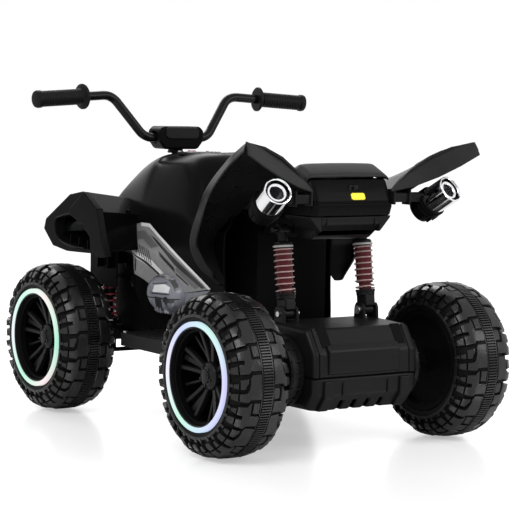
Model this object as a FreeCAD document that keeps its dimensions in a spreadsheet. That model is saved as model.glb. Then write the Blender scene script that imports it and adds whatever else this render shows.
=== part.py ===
"""Kids quad bike: a ride-on built from separate parts.

Frame in millimetres: +X is forward, +Y is the rider's left, +Z is up.
The origin lies on the floor, midway between the axles.
"""
import FreeCAD, Part
import math
import os
import types
import Sketcher
from FreeCAD import Placement, Rotation, Vector

# Every size has one name, one value and one meaning.
SIZES = [
    ("wheelbase", 620.0, "front axle to rear axle"),
    ("track", 508.0, "between the middle planes of left and right wheels"),
    ("tyre_radius", 150.0, "to the tread top, and the height of the axles"),
    ("tyre_width", 122.0, "over the side walls"),
    ("tread_depth", 5.0, "depth of the slots between tread blocks"),
    ("tread_slots", 18.0, "slots around each half of the tread"),
    ("slot_angle", 3.2, "width of one slot in degrees"),
    ("band_width", 22.0, "middle band of the tread"),
    ("rim_radius", 97.0, "barrel of the rim"),
    ("spoke_count", 10.0, "spokes of the rim"),
    ("spoke_width", 9.0, "one spoke"),
    ("hub_radius", 22.0, "hub of the rim"),
    ("ring_inner", 84.0, "inner radius of the light ring"),
    ("axle_radius", 6.0, "axle rod, stub axles and king pins"),
    ("running_gap", 0.05, "radial play of turning fits"),
    ("part_gap", 0.3, "play between neighbouring parts"),
    ("wall", 4.0, "wall of the plastic mouldings"),
    ("tub_half_width", 80.0, "chassis tub"),
    ("tub_floor", 128.0, "underside of the tub"),
    ("nose_floor", 182.0, "underside of the tub nose over the front beam"),
    ("tank_top", 525.0, "top of the tank"),
    ("seat_base", 428.0, "shell platform under the seat"),
    ("body_half_width", 134.0, "widest part of the shell"),
    ("skirt_height", 168.0, "lower edge of the shell"),
    ("column_setback", 28.0, "steering column behind the front axle"),
    ("column_radius", 8.0, "steering column"),
    ("king_pin_y", 178.0, "king pins from the middle plane"),
    ("crank_length", 40.0, "steering arms and column crank"),
    ("strut_y", 138.0, "front struts from the middle plane"),
    ("front_travel", 12.0, "stroke of the front struts"),
    ("front_spring_radius", 15.3, "coil middle of the front springs"),
    ("front_wire", 4.0, "wire of the front springs"),
    ("bar_radius", 9.5, "handlebar tube"),
    ("bar_rise", 33.0, "handlebar clamp above the tank top"),
    ("grip_radius", 16.0, "rubber grips"),
    ("arm_length", 135.0, "swing arm from pivot to rear axle"),
    ("housing_half", 118.0, "half length of the axle housing"),
    ("gear_module", 1.5, "tooth size of the drive"),
    ("gear_teeth", 48.0, "drive gear"),
    ("pinion_teeth", 16.0, "motor pinion"),
    ("motor_radius", 18.0, "motor can"),
    ("shock_y", 92.0, "rear shocks from the middle plane"),
    ("shock_rod", 9.0, "radius of the shock rods"),
    ("rear_spring_radius", 17.2, "coil middle of the rear springs"),
    ("rear_wire", 5.2, "wire of the rear springs"),
    ("tail_half_width", 92.0, "tail housing"),
    ("tower_half_width", 68.0, "box that carries the shock tops"),
    ("exhaust_radius", 26.0, "chrome end pipe"),
    ("exhaust_length", 58.0, "chrome end pipe"),
    ("rest_reach", 98.0, "foot rests out from the widest part of the shell"),
    ("rest_top", 180.0, "top of the foot rests"),
    ("seat_half_width", 94.0, "seat at its lower edge"),
    ("socket_radius", 3.0, "charging socket in the back of the tub"),
    ("socket_depth", 14.0, "charging socket from the outside"),
]

doc = FreeCAD.newDocument("quad_bike")
sheet = doc.addObject("Spreadsheet::Sheet", "Sizes")
for row, (alias, amount, meaning) in enumerate(SIZES, start=1):
    sheet.set("A%d" % row, meaning)
    sheet.set("B%d" % row, str(amount))
    sheet.setAlias("B%d" % row, alias)
doc.recompute()

PARTS = []


class Size:
    """A number together with the sheet formula that gives it."""

    def __init__(self, value, text):
        self.value = value
        self.text = text

    def join(self, sign, other, value):
        return Size(value, "(%s %s %s)" % (self.text, sign, formula(other)))

    def __add__(self, other):
        return self.join("+", other, self.value + number(other))

    def __radd__(self, other):
        return self + other

    def __sub__(self, other):
        return self.join("-", other, self.value - number(other))

    def __rsub__(self, other):
        return (-self) + other

    def __mul__(self, other):
        return self.join("*", other, self.value * number(other))

    def __rmul__(self, other):
        return self * other

    def __truediv__(self, other):
        return self.join("/", other, self.value / number(other))

    def __rtruediv__(self, other):
        return Size(number(other) / self.value, "(%s / %s)" % (formula(other), self.text))

    def __neg__(self):
        return Size(-self.value, "(0 - %s)" % self.text)


def number(amount):
    return amount.value if isinstance(amount, Size) else float(amount)


def formula(amount):
    return amount.text if isinstance(amount, Size) else "(%r)" % float(amount)


s = types.SimpleNamespace(**{alias: Size(amount, "Sizes." + alias) for alias, amount, meaning in SIZES})

FRONT_X = s.wheelbase / 2
REAR_X = -FRONT_X
AXLE_Z = s.tyre_radius * 1
WHEEL_Y = s.track / 2
BORE = s.axle_radius + s.running_gap
COLUMN_X = FRONT_X - s.column_setback
PIVOT_X = REAR_X + s.arm_length
BAR_Z = s.tank_top + s.bar_rise
REST_Y = s.body_half_width + s.rest_reach
SIDES = (("left", 1), ("right", -1))
TURN = {
    "x": Rotation(Vector(0, 1, 0), 90),
    "y": Rotation(Vector(1, 0, 0), -90),
    "z": Rotation(),
}


def vec(x, y, z):
    return Vector(number(x), number(y), number(z))


def reach(side, low, high):
    """A span on the left side, or its mirror on the right."""
    return (low, high) if side > 0 else (-high, -low)


def part(label, obj):
    obj.Label = label
    PARTS.append(obj)
    return obj


def place(obj, at, axis="z"):
    obj.Placement = Placement(Vector(), TURN[axis])
    for name, amount in zip("xyz", at):
        obj.setExpression("Placement.Base." + name, formula(amount))
    return obj


def block(name, x, y, z):
    """A box from three spans."""
    obj = doc.addObject("Part::Box", name)
    for prop, span in zip(("Length", "Width", "Height"), (x, y, z)):
        obj.setExpression(prop, formula(span[1] - span[0]))
    return place(obj, (x[0], y[0], z[0]))


def rod(name, axis, radius, span, cross):
    """A cylinder along an axis; cross holds its two other coordinates."""
    obj = doc.addObject("Part::Cylinder", name)
    obj.setExpression("Radius", formula(radius))
    obj.setExpression("Height", formula(span[1] - span[0]))
    at = list(cross)
    at.insert("xyz".index(axis), span[0])
    return place(obj, at, axis)


def hex_nut(name, radius, span, cross):
    obj = doc.addObject("Part::Prism", name)
    obj.Polygon = 6
    obj.setExpression("Circumradius", formula(radius))
    obj.setExpression("Height", formula(span[1] - span[0]))
    return place(obj, (cross[0], span[0], cross[1]), "y")


def fuse(name, *shapes):
    obj = doc.addObject("Part::MultiFuse", name)
    obj.Shapes = list(shapes)
    return obj


def cut(name, base, *tools):
    obj = doc.addObject("Part::Cut", name)
    obj.Base = base
    obj.Tool = tools[0] if len(tools) == 1 else fuse(name + "_tools", *tools)
    return obj


def group(name, *solids):
    obj = doc.addObject("Part::Compound", name)
    obj.Links = list(solids)
    return obj


def feature(name, shape):
    obj = doc.addObject("Part::Feature", name)
    obj.Shape = shape
    return obj


def mirrored(shape):
    return shape.mirror(Vector(0, 0, 0), Vector(0, 1, 0))


class Via(tuple):
    """A point that an arc between two corners passes through."""


def origin_of(body, role):
    return [item for item in body.Origin.OriginFeatures if item.Role == role][0]


def pin_point(sketch, geometry, position, point):
    for kind, amount in zip(("DistanceX", "DistanceY"), point):
        constraint = Sketcher.Constraint(kind, geometry, position, number(amount))
        index = sketch.addConstraint(constraint)
        sketch.setExpression("Constraints[%d]" % index, formula(amount))


def draw(sketch, loop):
    """One closed loop of corners; a Via turns its edge into an arc."""
    corners = [index for index, point in enumerate(loop) if not isinstance(point, Via)]
    edges = []
    for turn, start in enumerate(corners):
        end = corners[(turn + 1) % len(corners)]
        first = vec(*loop[start], 0)
        last = vec(*loop[end], 0)
        between = loop[(start + 1) % len(loop)]
        if isinstance(between, Via):
            edge = sketch.addGeometry(Part.Arc(first, vec(*between, 0), last))
            forward = sketch.getPoint(edge, 1).distanceToPoint(first) < 1e-6
            edges.append((edge, 1 if forward else 2, 2 if forward else 1))
            middle = sketch.addGeometry(Part.Point(vec(*between, 0)), True)
            sketch.addConstraint(Sketcher.Constraint("PointOnObject", middle, 1, edge))
            pin_point(sketch, middle, 1, between)
        else:
            edges.append((sketch.addGeometry(Part.LineSegment(first, last)), 1, 2))
    for turn, (edge, start, end) in enumerate(edges):
        follower = edges[(turn + 1) % len(edges)]
        sketch.addConstraint(Sketcher.Constraint("Coincident", edge, end, follower[0], follower[1]))
        pin_point(sketch, edge, start, loop[corners[turn]])


def sketch_in(body, name, plane, *loops):
    obj = body.newObject("Sketcher::SketchObject", name)
    obj.AttachmentSupport = [(origin_of(body, plane), "")]
    obj.MapMode = "FlatFace"
    for loop in loops:
        draw(obj, loop)
    return obj


def turn_feature(body, kind, sketch, angle=360.0):
    """A revolution or groove about the sketch's own vertical axis."""
    obj = body.newObject("PartDesign::" + kind, kind)
    obj.Profile = sketch
    obj.ReferenceAxis = (sketch, ["V_Axis"])
    obj.setExpression("Angle", formula(angle))
    return obj


def around(body, source, count):
    obj = body.newObject("PartDesign::PolarPattern", "Around")
    obj.Originals = [source]
    obj.Axis = (origin_of(body, "Y_Axis"), [""])
    obj.Angle = 360
    obj.setExpression("Occurrences", formula(count))
    body.Tip = obj
    return obj


def revolved(name, *loops):
    body = doc.addObject("PartDesign::Body", name)
    turn_feature(body, "Revolution", sketch_in(body, "Profile", "XY_Plane", *loops))
    return body


def slab(name, plane, width, *loops):
    """A profile padded by the same amount to both sides of its plane."""
    body = doc.addObject("PartDesign::Body", name)
    pad = body.newObject("PartDesign::Pad", "Pad")
    pad.Profile = sketch_in(body, "Profile", plane, *loops)
    pad.SideType = "Symmetric"
    pad.setExpression("Length", formula(width))
    body.Tip = pad
    return body


def loft(sections, ruled=True):
    wires = [Part.makePolygon(list(points) + [points[0]]) for points in sections]
    return Part.makeLoft(wires, True, ruled)


# Wheels: each mould is made once about the Y axis, outboard towards +Y.

def tyre_mould():
    top = s.tyre_radius
    half = s.tyre_width / 2
    bead = s.rim_radius + 0.2
    body = revolved("tyre_mould", [
        (bead, -half + 6),
        (top - 38, -half),
        (top - 26, -half + 1),
        Via((top - 12, -half + 8)),
        (top - 5, -half + 21),
        Via((top, 0.0)),
        (top - 5, half - 21),
        Via((top - 12, half - 8)),
        (top - 26, half - 1),
        (top - 38, half),
        (s.rim_radius + 4, half - 3),
        (s.rim_radius + 4, half - 14.5),
        (bead, half - 14.5),
        (bead, half - 21),
        (bead + 8, half - 21),
        (top - 36, half - 7),
        (top - 28, half - 8),
        Via((top - 19, half - 14)),
        (top - 12.5, half - 24),
        Via((top - 8, 0.0)),
        (top - 12.5, -half + 24),
        Via((top - 19, -half + 14)),
        (top - 28, -half + 8),
        (top - 36, -half + 7),
        (bead + 8, -half + 17),
        (bead, -half + 17),
    ])
    edge = s.band_width / 2
    loops = []
    for side in (1, -1):
        near, far = reach(side, edge, edge + 2)
        loops.append([(top - 3, near), (top + 5, near), (top + 5, far), (top - 3, far)])
    turn_feature(body, "Groove", sketch_in(body, "BandLines", "XY_Plane", *loops))
    deep = top - s.tread_depth
    for side, shift in ((1, 0.0), (-1, 0.5)):
        slot = sketch_in(body, "Slot", "XY_Plane", [
            (deep, side * (edge + 1)),
            (top + 10, side * (edge + 1)),
            (top + 10, side * (half + 10)),
            (top - 28, side * (half + 10)),
            (top - 28, side * (half - 5.2)),
            (deep - 11.5, side * (half - 11)),
            (deep - 5, side * (half - 22)),
        ])
        turn = shift * 360 / number(s.tread_slots)
        slot.AttachmentOffset = Placement(Vector(), Rotation(Vector(0, 1, 0), turn))
        around(body, turn_feature(body, "Groove", slot, s.slot_angle), s.tread_slots)
    return body


def rim_mould():
    half = s.tyre_width / 2
    rim = s.rim_radius
    body = revolved("rim_mould", [
        (BORE, -half + 9),
        (BORE, half - 35),
        (s.hub_radius - 2, half - 35),
        (rim - 17, half - 23),
        (rim - 17, half - 11),
        (rim + 2.5, half - 11),
        (rim + 2.5, half - 14),
        (rim, half - 14),
        (rim, -half + 5),
        (rim - 11, -half + 5),
        (rim - 17, -half + 15),
        (s.hub_radius, -half + 15),
        (s.hub_radius, -half + 9),
    ], [
        (s.hub_radius, -half + 19),
        (s.hub_radius, half - 42),
        (rim - 4, half - 28),
        (rim - 4, -half + 19),
    ])
    inner = s.hub_radius + 10
    outer = rim - 21
    pitch = math.pi / s.spoke_count
    near = inner * pitch - s.spoke_width / 2
    far = outer * pitch - s.spoke_width / 2
    window = body.newObject("PartDesign::Pocket", "Window")
    window.Profile = sketch_in(body, "WindowOutline", "XZ_Plane", [
        (inner, -near), (outer, -far), (outer, far), (inner, near),
    ])
    window.setExpression("Length", formula(half))
    around(body, window, s.spoke_count)
    return body


def ring_mould():
    half = s.tyre_width / 2
    outer = s.rim_radius + 3
    return revolved("ring_mould", [
        (s.ring_inner, half - 10.7),
        (outer, half - 10.7),
        (outer, half - 2),
        Via(((s.ring_inner + outer) / 2, half + 0.5)),
        (s.ring_inner, half - 2),
    ])


def cap_mould():
    half = s.tyre_width / 2
    rim_face = half - 34.7
    return revolved("cap_mould", [
        (13.0, rim_face),
        (19.0, rim_face),
        (19.0, rim_face + 9),
        (13.0, rim_face + 13),
        (0.0, rim_face + 14),
        (0.0, rim_face + 10.5),
        (13.0, rim_face + 10.5),
    ])


def wheels():
    moulds = [tyre_mould(), rim_mould(), ring_mould(), cap_mould()]
    doc.recompute()
    tyre, rim, ring, cap = [mould.Shape.copy() for mould in moulds]
    for end, x in (("front", FRONT_X), ("rear", REAR_X)):
        for name, side in SIDES:
            pieces = (
                ("tyre", tyre),
                ("rim", Part.makeCompound([rim, cap])),
                ("light_ring", ring),
            )
            for kind, shape in pieces:
                label = "%s_%s_%s" % (kind, end, name)
                copy = feature(label, shape.copy() if side > 0 else mirrored(shape))
                part(label, place(copy, (x, side * WHEEL_Y, AXLE_Z)))


# Front axle and steering.

def front_axle():
    bar_x = (FRONT_X - 15, FRONT_X + 15)
    beam = [block("beam_bar", bar_x, (-s.strut_y, s.strut_y), (AXLE_Z - 12, AXLE_Z + 17))]
    for name, side in SIDES:
        depth = (FRONT_X - 14, FRONT_X + 14)
        web = reach(side, s.strut_y - 10, s.strut_y + 2)
        beam.append(block("beam_web", depth, web, (AXLE_Z - 30, AXLE_Z + 30)))
        lug = reach(side, s.strut_y, s.king_pin_y + 14)
        beam.append(block("beam_upper_lug", depth, lug, (AXLE_Z + 22, AXLE_Z + 30)))
        beam.append(block("beam_lower_lug", depth, lug, (AXLE_Z - 30, AXLE_Z - 22)))
        pin_at = (FRONT_X, side * s.king_pin_y)
        beam.append(rod("king_pin", "z", s.axle_radius, (AXLE_Z - 34, AXLE_Z + 36), pin_at))
        strut_at = (FRONT_X, side * s.strut_y)
        beam.append(rod("strut_rod", "z", s.column_radius, (AXLE_Z + 28, AXLE_Z + 126), strut_at))
        beam.append(rod("spring_seat", "z", 19.0, (AXLE_Z + 29, AXLE_Z + 34), strut_at))
    part("front_beam", fuse("front_beam", *beam))


def knuckle(name, side):
    at = (FRONT_X, side * s.king_pin_y)
    across = (FRONT_X, AXLE_Z)
    end = WHEEL_Y + 35
    sleeve = rod("sleeve", "z", 11.0, (AXLE_Z - 21.7, AXLE_Z + 21.7), at)
    stub = rod("stub", "y", s.axle_radius, reach(side, s.king_pin_y + 8, end), across)
    collar = rod("collar", "y", 10.0, reach(side, s.king_pin_y + 8, WHEEL_Y - 52.3), across)
    arm_y = reach(side, s.king_pin_y - 6, s.king_pin_y + 6)
    arm = block("arm", (FRONT_X - s.crank_length - 6, FRONT_X - 7), arm_y, (AXLE_Z - 20, AXLE_Z - 12))
    pin_at = (FRONT_X - s.crank_length, side * s.king_pin_y)
    pin = rod("arm_pin", "z", 4.0, (AXLE_Z - 42, AXLE_Z - 19), pin_at)
    solid = fuse("knuckle_body", sleeve, stub, collar, arm, pin)
    bored = cut("knuckle_bored", solid, rod("bore", "z", BORE, (AXLE_Z - 30, AXLE_Z + 30), at))
    nut_span = reach(side, WHEEL_Y + 26.8, WHEEL_Y + 33)
    nut = cut("stub_nut", hex_nut("nut", 10.0, nut_span, across),
              rod("nut_bore", "y", s.axle_radius, reach(side, WHEEL_Y + 20, WHEEL_Y + 40), across))
    part("knuckle_" + name, group("knuckle_" + name, bored, nut))


def tie_rod():
    x = FRONT_X - s.crank_length
    z = (AXLE_Z - 34, AXLE_Z - 24)
    tab_x = COLUMN_X - s.crank_length
    solids = [rod("tie_bar", "y", 4.5, (-s.king_pin_y + 7, s.king_pin_y - 7), (x, AXLE_Z - 29))]
    solids.append(block("tie_tab", (tab_x - 10, x), (-9.0, 9.0), z))
    holes = [rod("crank_eye", "z", 4.3, (AXLE_Z - 40, AXLE_Z - 20), (tab_x, 0.0))]
    for name, side in SIDES:
        eye_at = (x, side * s.king_pin_y)
        solids.append(rod("tie_eye", "z", 9.0, z, eye_at))
        holes.append(rod("tie_hole", "z", 4.0 + s.running_gap, (AXLE_Z - 40, AXLE_Z - 20), eye_at))
    part("tie_rod", cut("tie_rod", fuse("tie_body", *solids), *holes))


def column():
    at = (COLUMN_X, 0.0)
    shaft = rod("shaft", "z", s.column_radius, (AXLE_Z - 8, BAR_Z - 13), at)
    pin_x = COLUMN_X - s.crank_length
    crank = block("crank", (pin_x - 8, COLUMN_X + 6), (-9.0, 9.0), (AXLE_Z - 8, AXLE_Z))
    pin = rod("crank_pin", "z", 4.0, (AXLE_Z - 42, AXLE_Z - 7), (pin_x, 0.0))
    part("steering_column", fuse("steering_column", shaft, crank, pin))


def bar_points(side):
    """Corners of the handlebar's middle line on one side."""
    return [
        vec(COLUMN_X - 1, side * 76, BAR_Z),
        vec(COLUMN_X + 23, side * 143, BAR_Z + 87),
        vec(COLUMN_X + 5, side * 322, BAR_Z + 76),
    ]


def rounded_path(points, radius):
    """Straight runs joined by arcs of one radius."""
    edges = []
    start = points[0]
    for corner, after in zip(points[1:-1], points[2:]):
        into = (corner - start).normalize()
        out = (after - corner).normalize()
        bend = into.getAngle(out)
        back = radius * math.tan(bend / 2)
        first = corner - into * back
        last = corner + out * back
        inward = (out - into).normalize()
        middle = corner + inward * (radius / math.cos(bend / 2) - radius)
        edges.append(Part.LineSegment(start, first).toShape())
        edges.append(Part.Arc(first, middle, last).toShape())
        start = last
    edges.append(Part.LineSegment(start, points[-1]).toShape())
    return Part.Wire(edges)


def handlebar():
    right = bar_points(-1)
    left = bar_points(1)
    path = rounded_path(list(reversed(right)) + left, 36.0)
    circle = Part.makeCircle(number(s.bar_radius), right[-1], right[-2] - right[-1])
    bar = path.makePipeShell([Part.Wire(circle)], True, False)
    part("handlebar", feature("handlebar", bar))


def grips():
    inside = s.bar_radius + 0.1
    grip = revolved("grip_mould", [
        (inside, 0.0),
        (s.grip_radius + 10, 0.0),
        (s.grip_radius + 10, 7.0),
        (s.grip_radius, 10.0),
        (s.grip_radius - 1, 106.0),
        (s.grip_radius + 2, 108.0),
        (s.grip_radius + 1, 116.0),
        (0.0, 117.0),
        (0.0, 112.0),
        (inside, 112.0),
    ])
    doc.recompute()
    solids = []
    for name, side in SIDES:
        bend, end = bar_points(side)[1:]
        along = (end - bend).normalize()
        turned = grip.Shape.copy()
        turned.Placement = Placement(end - along * 111.5, Rotation(Vector(0, 1, 0), along))
        solids.append(turned)
    part("grips", feature("grips", Part.makeCompound(solids)))


def bar_cover():
    z = BAR_Z
    block_body = slab("cover_block", "YZ_Plane", 50.0, [
        (-46.0, z + 24), (-54.0, z + 16), (-54.0, z - 6), (-40.0, z - 24),
        (40.0, z - 24), (54.0, z - 6), (54.0, z + 16), (46.0, z + 24),
    ])
    place(block_body, (COLUMN_X - 1, 0.0, 0.0))
    neck = rod("cover_neck", "z", 16.5, (s.tank_top + 1, z - 23), (COLUMN_X, 0.0))
    bar_hole = rod("bar_hole", "y", s.bar_radius + 0.1, (-60.0, 60.0), (COLUMN_X - 1, z))
    way = (s.tank_top, z - 12.5)
    column_hole = rod("column_hole", "z", s.column_radius + 0.1, way, (COLUMN_X, 0.0))
    body = fuse("cover_body", block_body, neck)
    part("handlebar_cover", cut("handlebar_cover", body, bar_hole, column_hole))


# Springs: a helix of arcs, each joined to the next along its direction.

def arc_edge(start, leave, end):
    chord = end - start
    along = Vector(chord).normalize()
    side = leave - along * leave.dot(along)
    angle = leave.getAngle(chord)
    rise = chord.Length / 2 * math.tan(angle / 2)
    middle = (start + end) / 2 + side.normalize() * rise
    return Part.Arc(start, middle, end).toShape()


def biarc(start, leave, end, arrive):
    chord = end - start
    along = chord.dot(leave + arrive)
    spread = 2 * (1 - leave.dot(arrive))
    step = (math.sqrt(along * along + spread * chord.dot(chord)) - along) / spread
    middle = (start + end + (leave - arrive) * step) / 2
    first = arc_edge(start, leave, middle)
    second = arc_edge(end, arrive * -1, middle)
    return [first, second]


def spring(radius, wire, height, turns):
    """A coil along +Z from zero to its height, with straight ends."""
    count = int(turns * 4)
    rise = (height - wire) / (turns * 2 * math.pi)

    def at(step):
        angle = step * math.pi / 2
        point = Vector(radius * math.cos(angle), radius * math.sin(angle), wire / 2 + rise * angle)
        heading = Vector(-radius * math.sin(angle), radius * math.cos(angle), rise).normalize()
        return point, heading

    first, first_way = at(0)
    last, last_way = at(count)
    edges = [Part.LineSegment(first - first_way * wire, first).toShape()]
    for step in range(count):
        start, leave = at(step)
        end, arrive = at(step + 1)
        edges.extend(biarc(start, leave, end, arrive))
    edges.append(Part.LineSegment(last, last + last_way * wire).toShape())
    path = Part.Wire(Part.sortEdges(edges)[0])
    circle = Part.Wire(Part.makeCircle(wire / 2, first - first_way * wire, first_way))
    tube = path.makePipeShell([circle], True, False)
    places = [at(step / 8)[0] for step in range(count * 8 + 1)]
    apart = [a.distanceToPoint(b) for i, a in enumerate(places) for b in places[i + 24:]]
    print("spring: least gap to itself %.2f mm" % (min(apart) - wire))
    return tube


def front_struts():
    tubes = []
    coils = []
    low = AXLE_Z + 34.3
    collar = AXLE_Z + 118
    for name, side in SIDES:
        at = (FRONT_X, side * s.strut_y)
        top = AXLE_Z + 146.7
        outer = rod("strut_outer", "z", s.column_radius + 5, (AXLE_Z + 78, top), at)
        flange = rod("strut_collar", "z", 19.0, (collar, collar + 4), at)
        bore = rod("strut_bore", "z", s.column_radius + 0.3, (AXLE_Z + 70, AXLE_Z + 141), at)
        tubes.append(cut("strut_tube", fuse("strut_body", outer, flange), bore))
        height = number(collar - low) - 1.2
        coil = spring(number(s.front_spring_radius), number(s.front_wire), height, 6.5)
        coil.translate(vec(*at, low + 0.5))
        coils.append(coil)
    part("front_strut_tubes", group("front_strut_tubes", *tubes))
    part("front_springs", feature("front_springs", Part.makeCompound(coils)))


# Chassis.

def chassis_tub():
    half = s.tub_half_width
    back = PIVOT_X + 20
    front = FRONT_X - 160
    top = s.seat_base - s.wall - s.part_gap
    nose_end = FRONT_X + 25
    nose_top = s.nose_floor + 148
    outer = [
        block("tub_main", (back, front), (-half, half), (s.tub_floor, top)),
        block("tub_nose", (front - 1, nose_end), (-half + 20, half - 20), (s.nose_floor, nose_top)),
    ]
    inner = [
        block("main_bay", (back + s.wall, front - s.wall), (-half + s.wall, half - s.wall),
              (s.tub_floor + s.wall, top + 1)),
        block("nose_bay", (front - 10, nose_end - s.wall), (-half + 24, half - 24),
              (s.nose_floor + 8, nose_top + 1)),
    ]
    shell = cut("tub_shell", fuse("tub_outer", *outer), *inner)
    cross_y = s.strut_y + 19
    cross_z = (AXLE_Z + 147, AXLE_Z + 171)
    cross_x = (FRONT_X - 22, FRONT_X + 22)
    column_at = (COLUMN_X, 0.0)
    extras = [
        block("cross_left", cross_x, (half - 24, cross_y), cross_z),
        block("cross_right", cross_x, (-cross_y, -half + 24), cross_z),
        rod("head_tube", "z", 20.0, (s.nose_floor, s.tank_top - s.wall - 0.5), column_at),
    ]
    for name, side in SIDES:
        ear = block("ear", (PIVOT_X - 19, back + 1), reach(side, 53.0, 61.0), (AXLE_Z - 22, AXLE_Z + 22))
        extras.append(ear)
    socket_at = (30.0, AXLE_Z + 180)
    extras.append(rod("charge_boss", "x", 8.0, (back + 1, back + s.socket_depth + 3), socket_at))
    holes = [
        rod("charge_socket", "x", s.socket_radius, (back - 1, back + s.socket_depth), socket_at),
        rod("head_bore", "z", s.column_radius + s.running_gap, (s.nose_floor - 5, s.tank_top), column_at),
        rod("pivot_hole", "y", s.axle_radius, (-70.0, 70.0), (PIVOT_X, AXLE_Z)),
    ]
    part("chassis_tub", cut("chassis_tub", fuse("tub_body", shell, *extras), *holes))


def inner_units():
    floor = s.tub_floor + s.wall + s.part_gap
    case = block("battery_case", (-128.0, 23.0), (-32.5, 32.5), (floor, floor + 94))
    posts = [rod("battery_post", "z", 4.0, (floor + 93, floor + 100), (10.0, y)) for y in (-22.0, 22.0)]
    part("battery", fuse("battery", case, *posts))
    box = block("module_case", (55.0, 135.0), (-30.0, 30.0), (floor, floor + 30))
    plug = block("module_plug", (48.0, 56.0), (-18.0, 18.0), (floor + 6, floor + 22))
    part("control_module", fuse("control_module", box, plug))


# Shell stations: place along X, then top edge, shoulder, side and skirt as (y, z).
def shell_stations():
    top = s.tank_top
    wide = s.body_half_width
    base = s.seat_base
    skirt = s.skirt_height
    return [
        (FRONT_X + 112, (28, top - 121), (60, top - 132), (wide - 50, top - 159), (wide - 50, top - 193)),
        (FRONT_X + 62, (40, top - 73), (74, top - 86), (wide - 30, top - 137), (wide - 30, top - 195)),
        (FRONT_X + 8, (46, top), (79, top - 47), (wide - 22, top - 125), (wide - 22, top - 197)),
        (FRONT_X - 80, (48, top), (90, top - 23), (wide - 8, top - 123), (wide + 2, top - 263)),
        (FRONT_X - 114, (50, top), (93, top - 20), (wide - 2, top - 129), (wide + 6, skirt + 80)),
        (FRONT_X - 160, (52, top), (95, top - 18), (wide, top - 135), (wide - 10, skirt + 2)),
        (FRONT_X - 265, (56, top), (98, top - 22), (wide, top - 141), (wide - 12, skirt)),
        (FRONT_X - 325, (96, base + 4), (110, base - 7), (wide - 3, base - 52), (wide - 12, skirt)),
        (FRONT_X - 420, (98, base), (112, base - 18), (wide - 6, base - 58), (wide - 14, skirt + 8)),
    ]


def shell_solid(inset):
    """The shell as a filled form, or its hollow when inset by the wall."""
    sections = []
    stations = shell_stations()
    for index, (x, top, shoulder, side, skirt) in enumerate(stations):
        place_x = number(x)
        if inset and index == 0:
            place_x -= inset
        if inset and index == len(stations) - 1:
            place_x -= 5
        half = [
            (number(skirt[0]) - inset, number(skirt[1]) - (30 if inset else 0)),
            (number(side[0]) - inset, number(side[1])),
            (number(shoulder[0]) - 0.8 * inset, number(shoulder[1]) - 0.7 * inset),
            (number(top[0]) - 0.5 * inset, number(top[1]) - inset),
        ]
        left = [Vector(place_x, y, z) for y, z in half]
        right = [Vector(place_x, -y, z) for y, z in reversed(half)]
        sections.append(left + right)
    return loft(sections)


def body_shell(filled):
    shell = filled.cut(shell_solid(number(s.wall)))
    hole = Part.makeCylinder(12, 60, vec(COLUMN_X, 0, s.tank_top - 30))
    hatch = Part.makeBox(110, 130, 40, vec(FRONT_X - 445, -65, s.seat_base - 20))
    beam_way = Part.makeBox(48, 400, 73, vec(FRONT_X - 24, -200, AXLE_Z + 100))
    shell = shell.cut(hole).cut(hatch).cut(beam_way)
    lugs = []
    for side in (1, -1):
        low, high = reach(side, 62, 70)
        lug = Part.makeBox(14, high - low, 17, vec(FRONT_X - 342, low, s.seat_base))
        lugs.append(lug)
    shell = shell.fuse(lugs)
    bore = Part.makeCylinder(4, 160, vec(FRONT_X - 335, -80, s.seat_base + 10), Vector(0, 1, 0))
    part("body_shell", feature("body_shell", shell.cut(bore)))


# Fenders.

def plate(outline, low, high):
    """A flat plate drawn as (x, z) between two places across."""
    corners = [vec(a, low, b) for a, b in outline]
    face = Part.Face(Part.makePolygon(corners + corners[:1]))
    return face.extrude(vec(0, high - low, 0))


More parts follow.
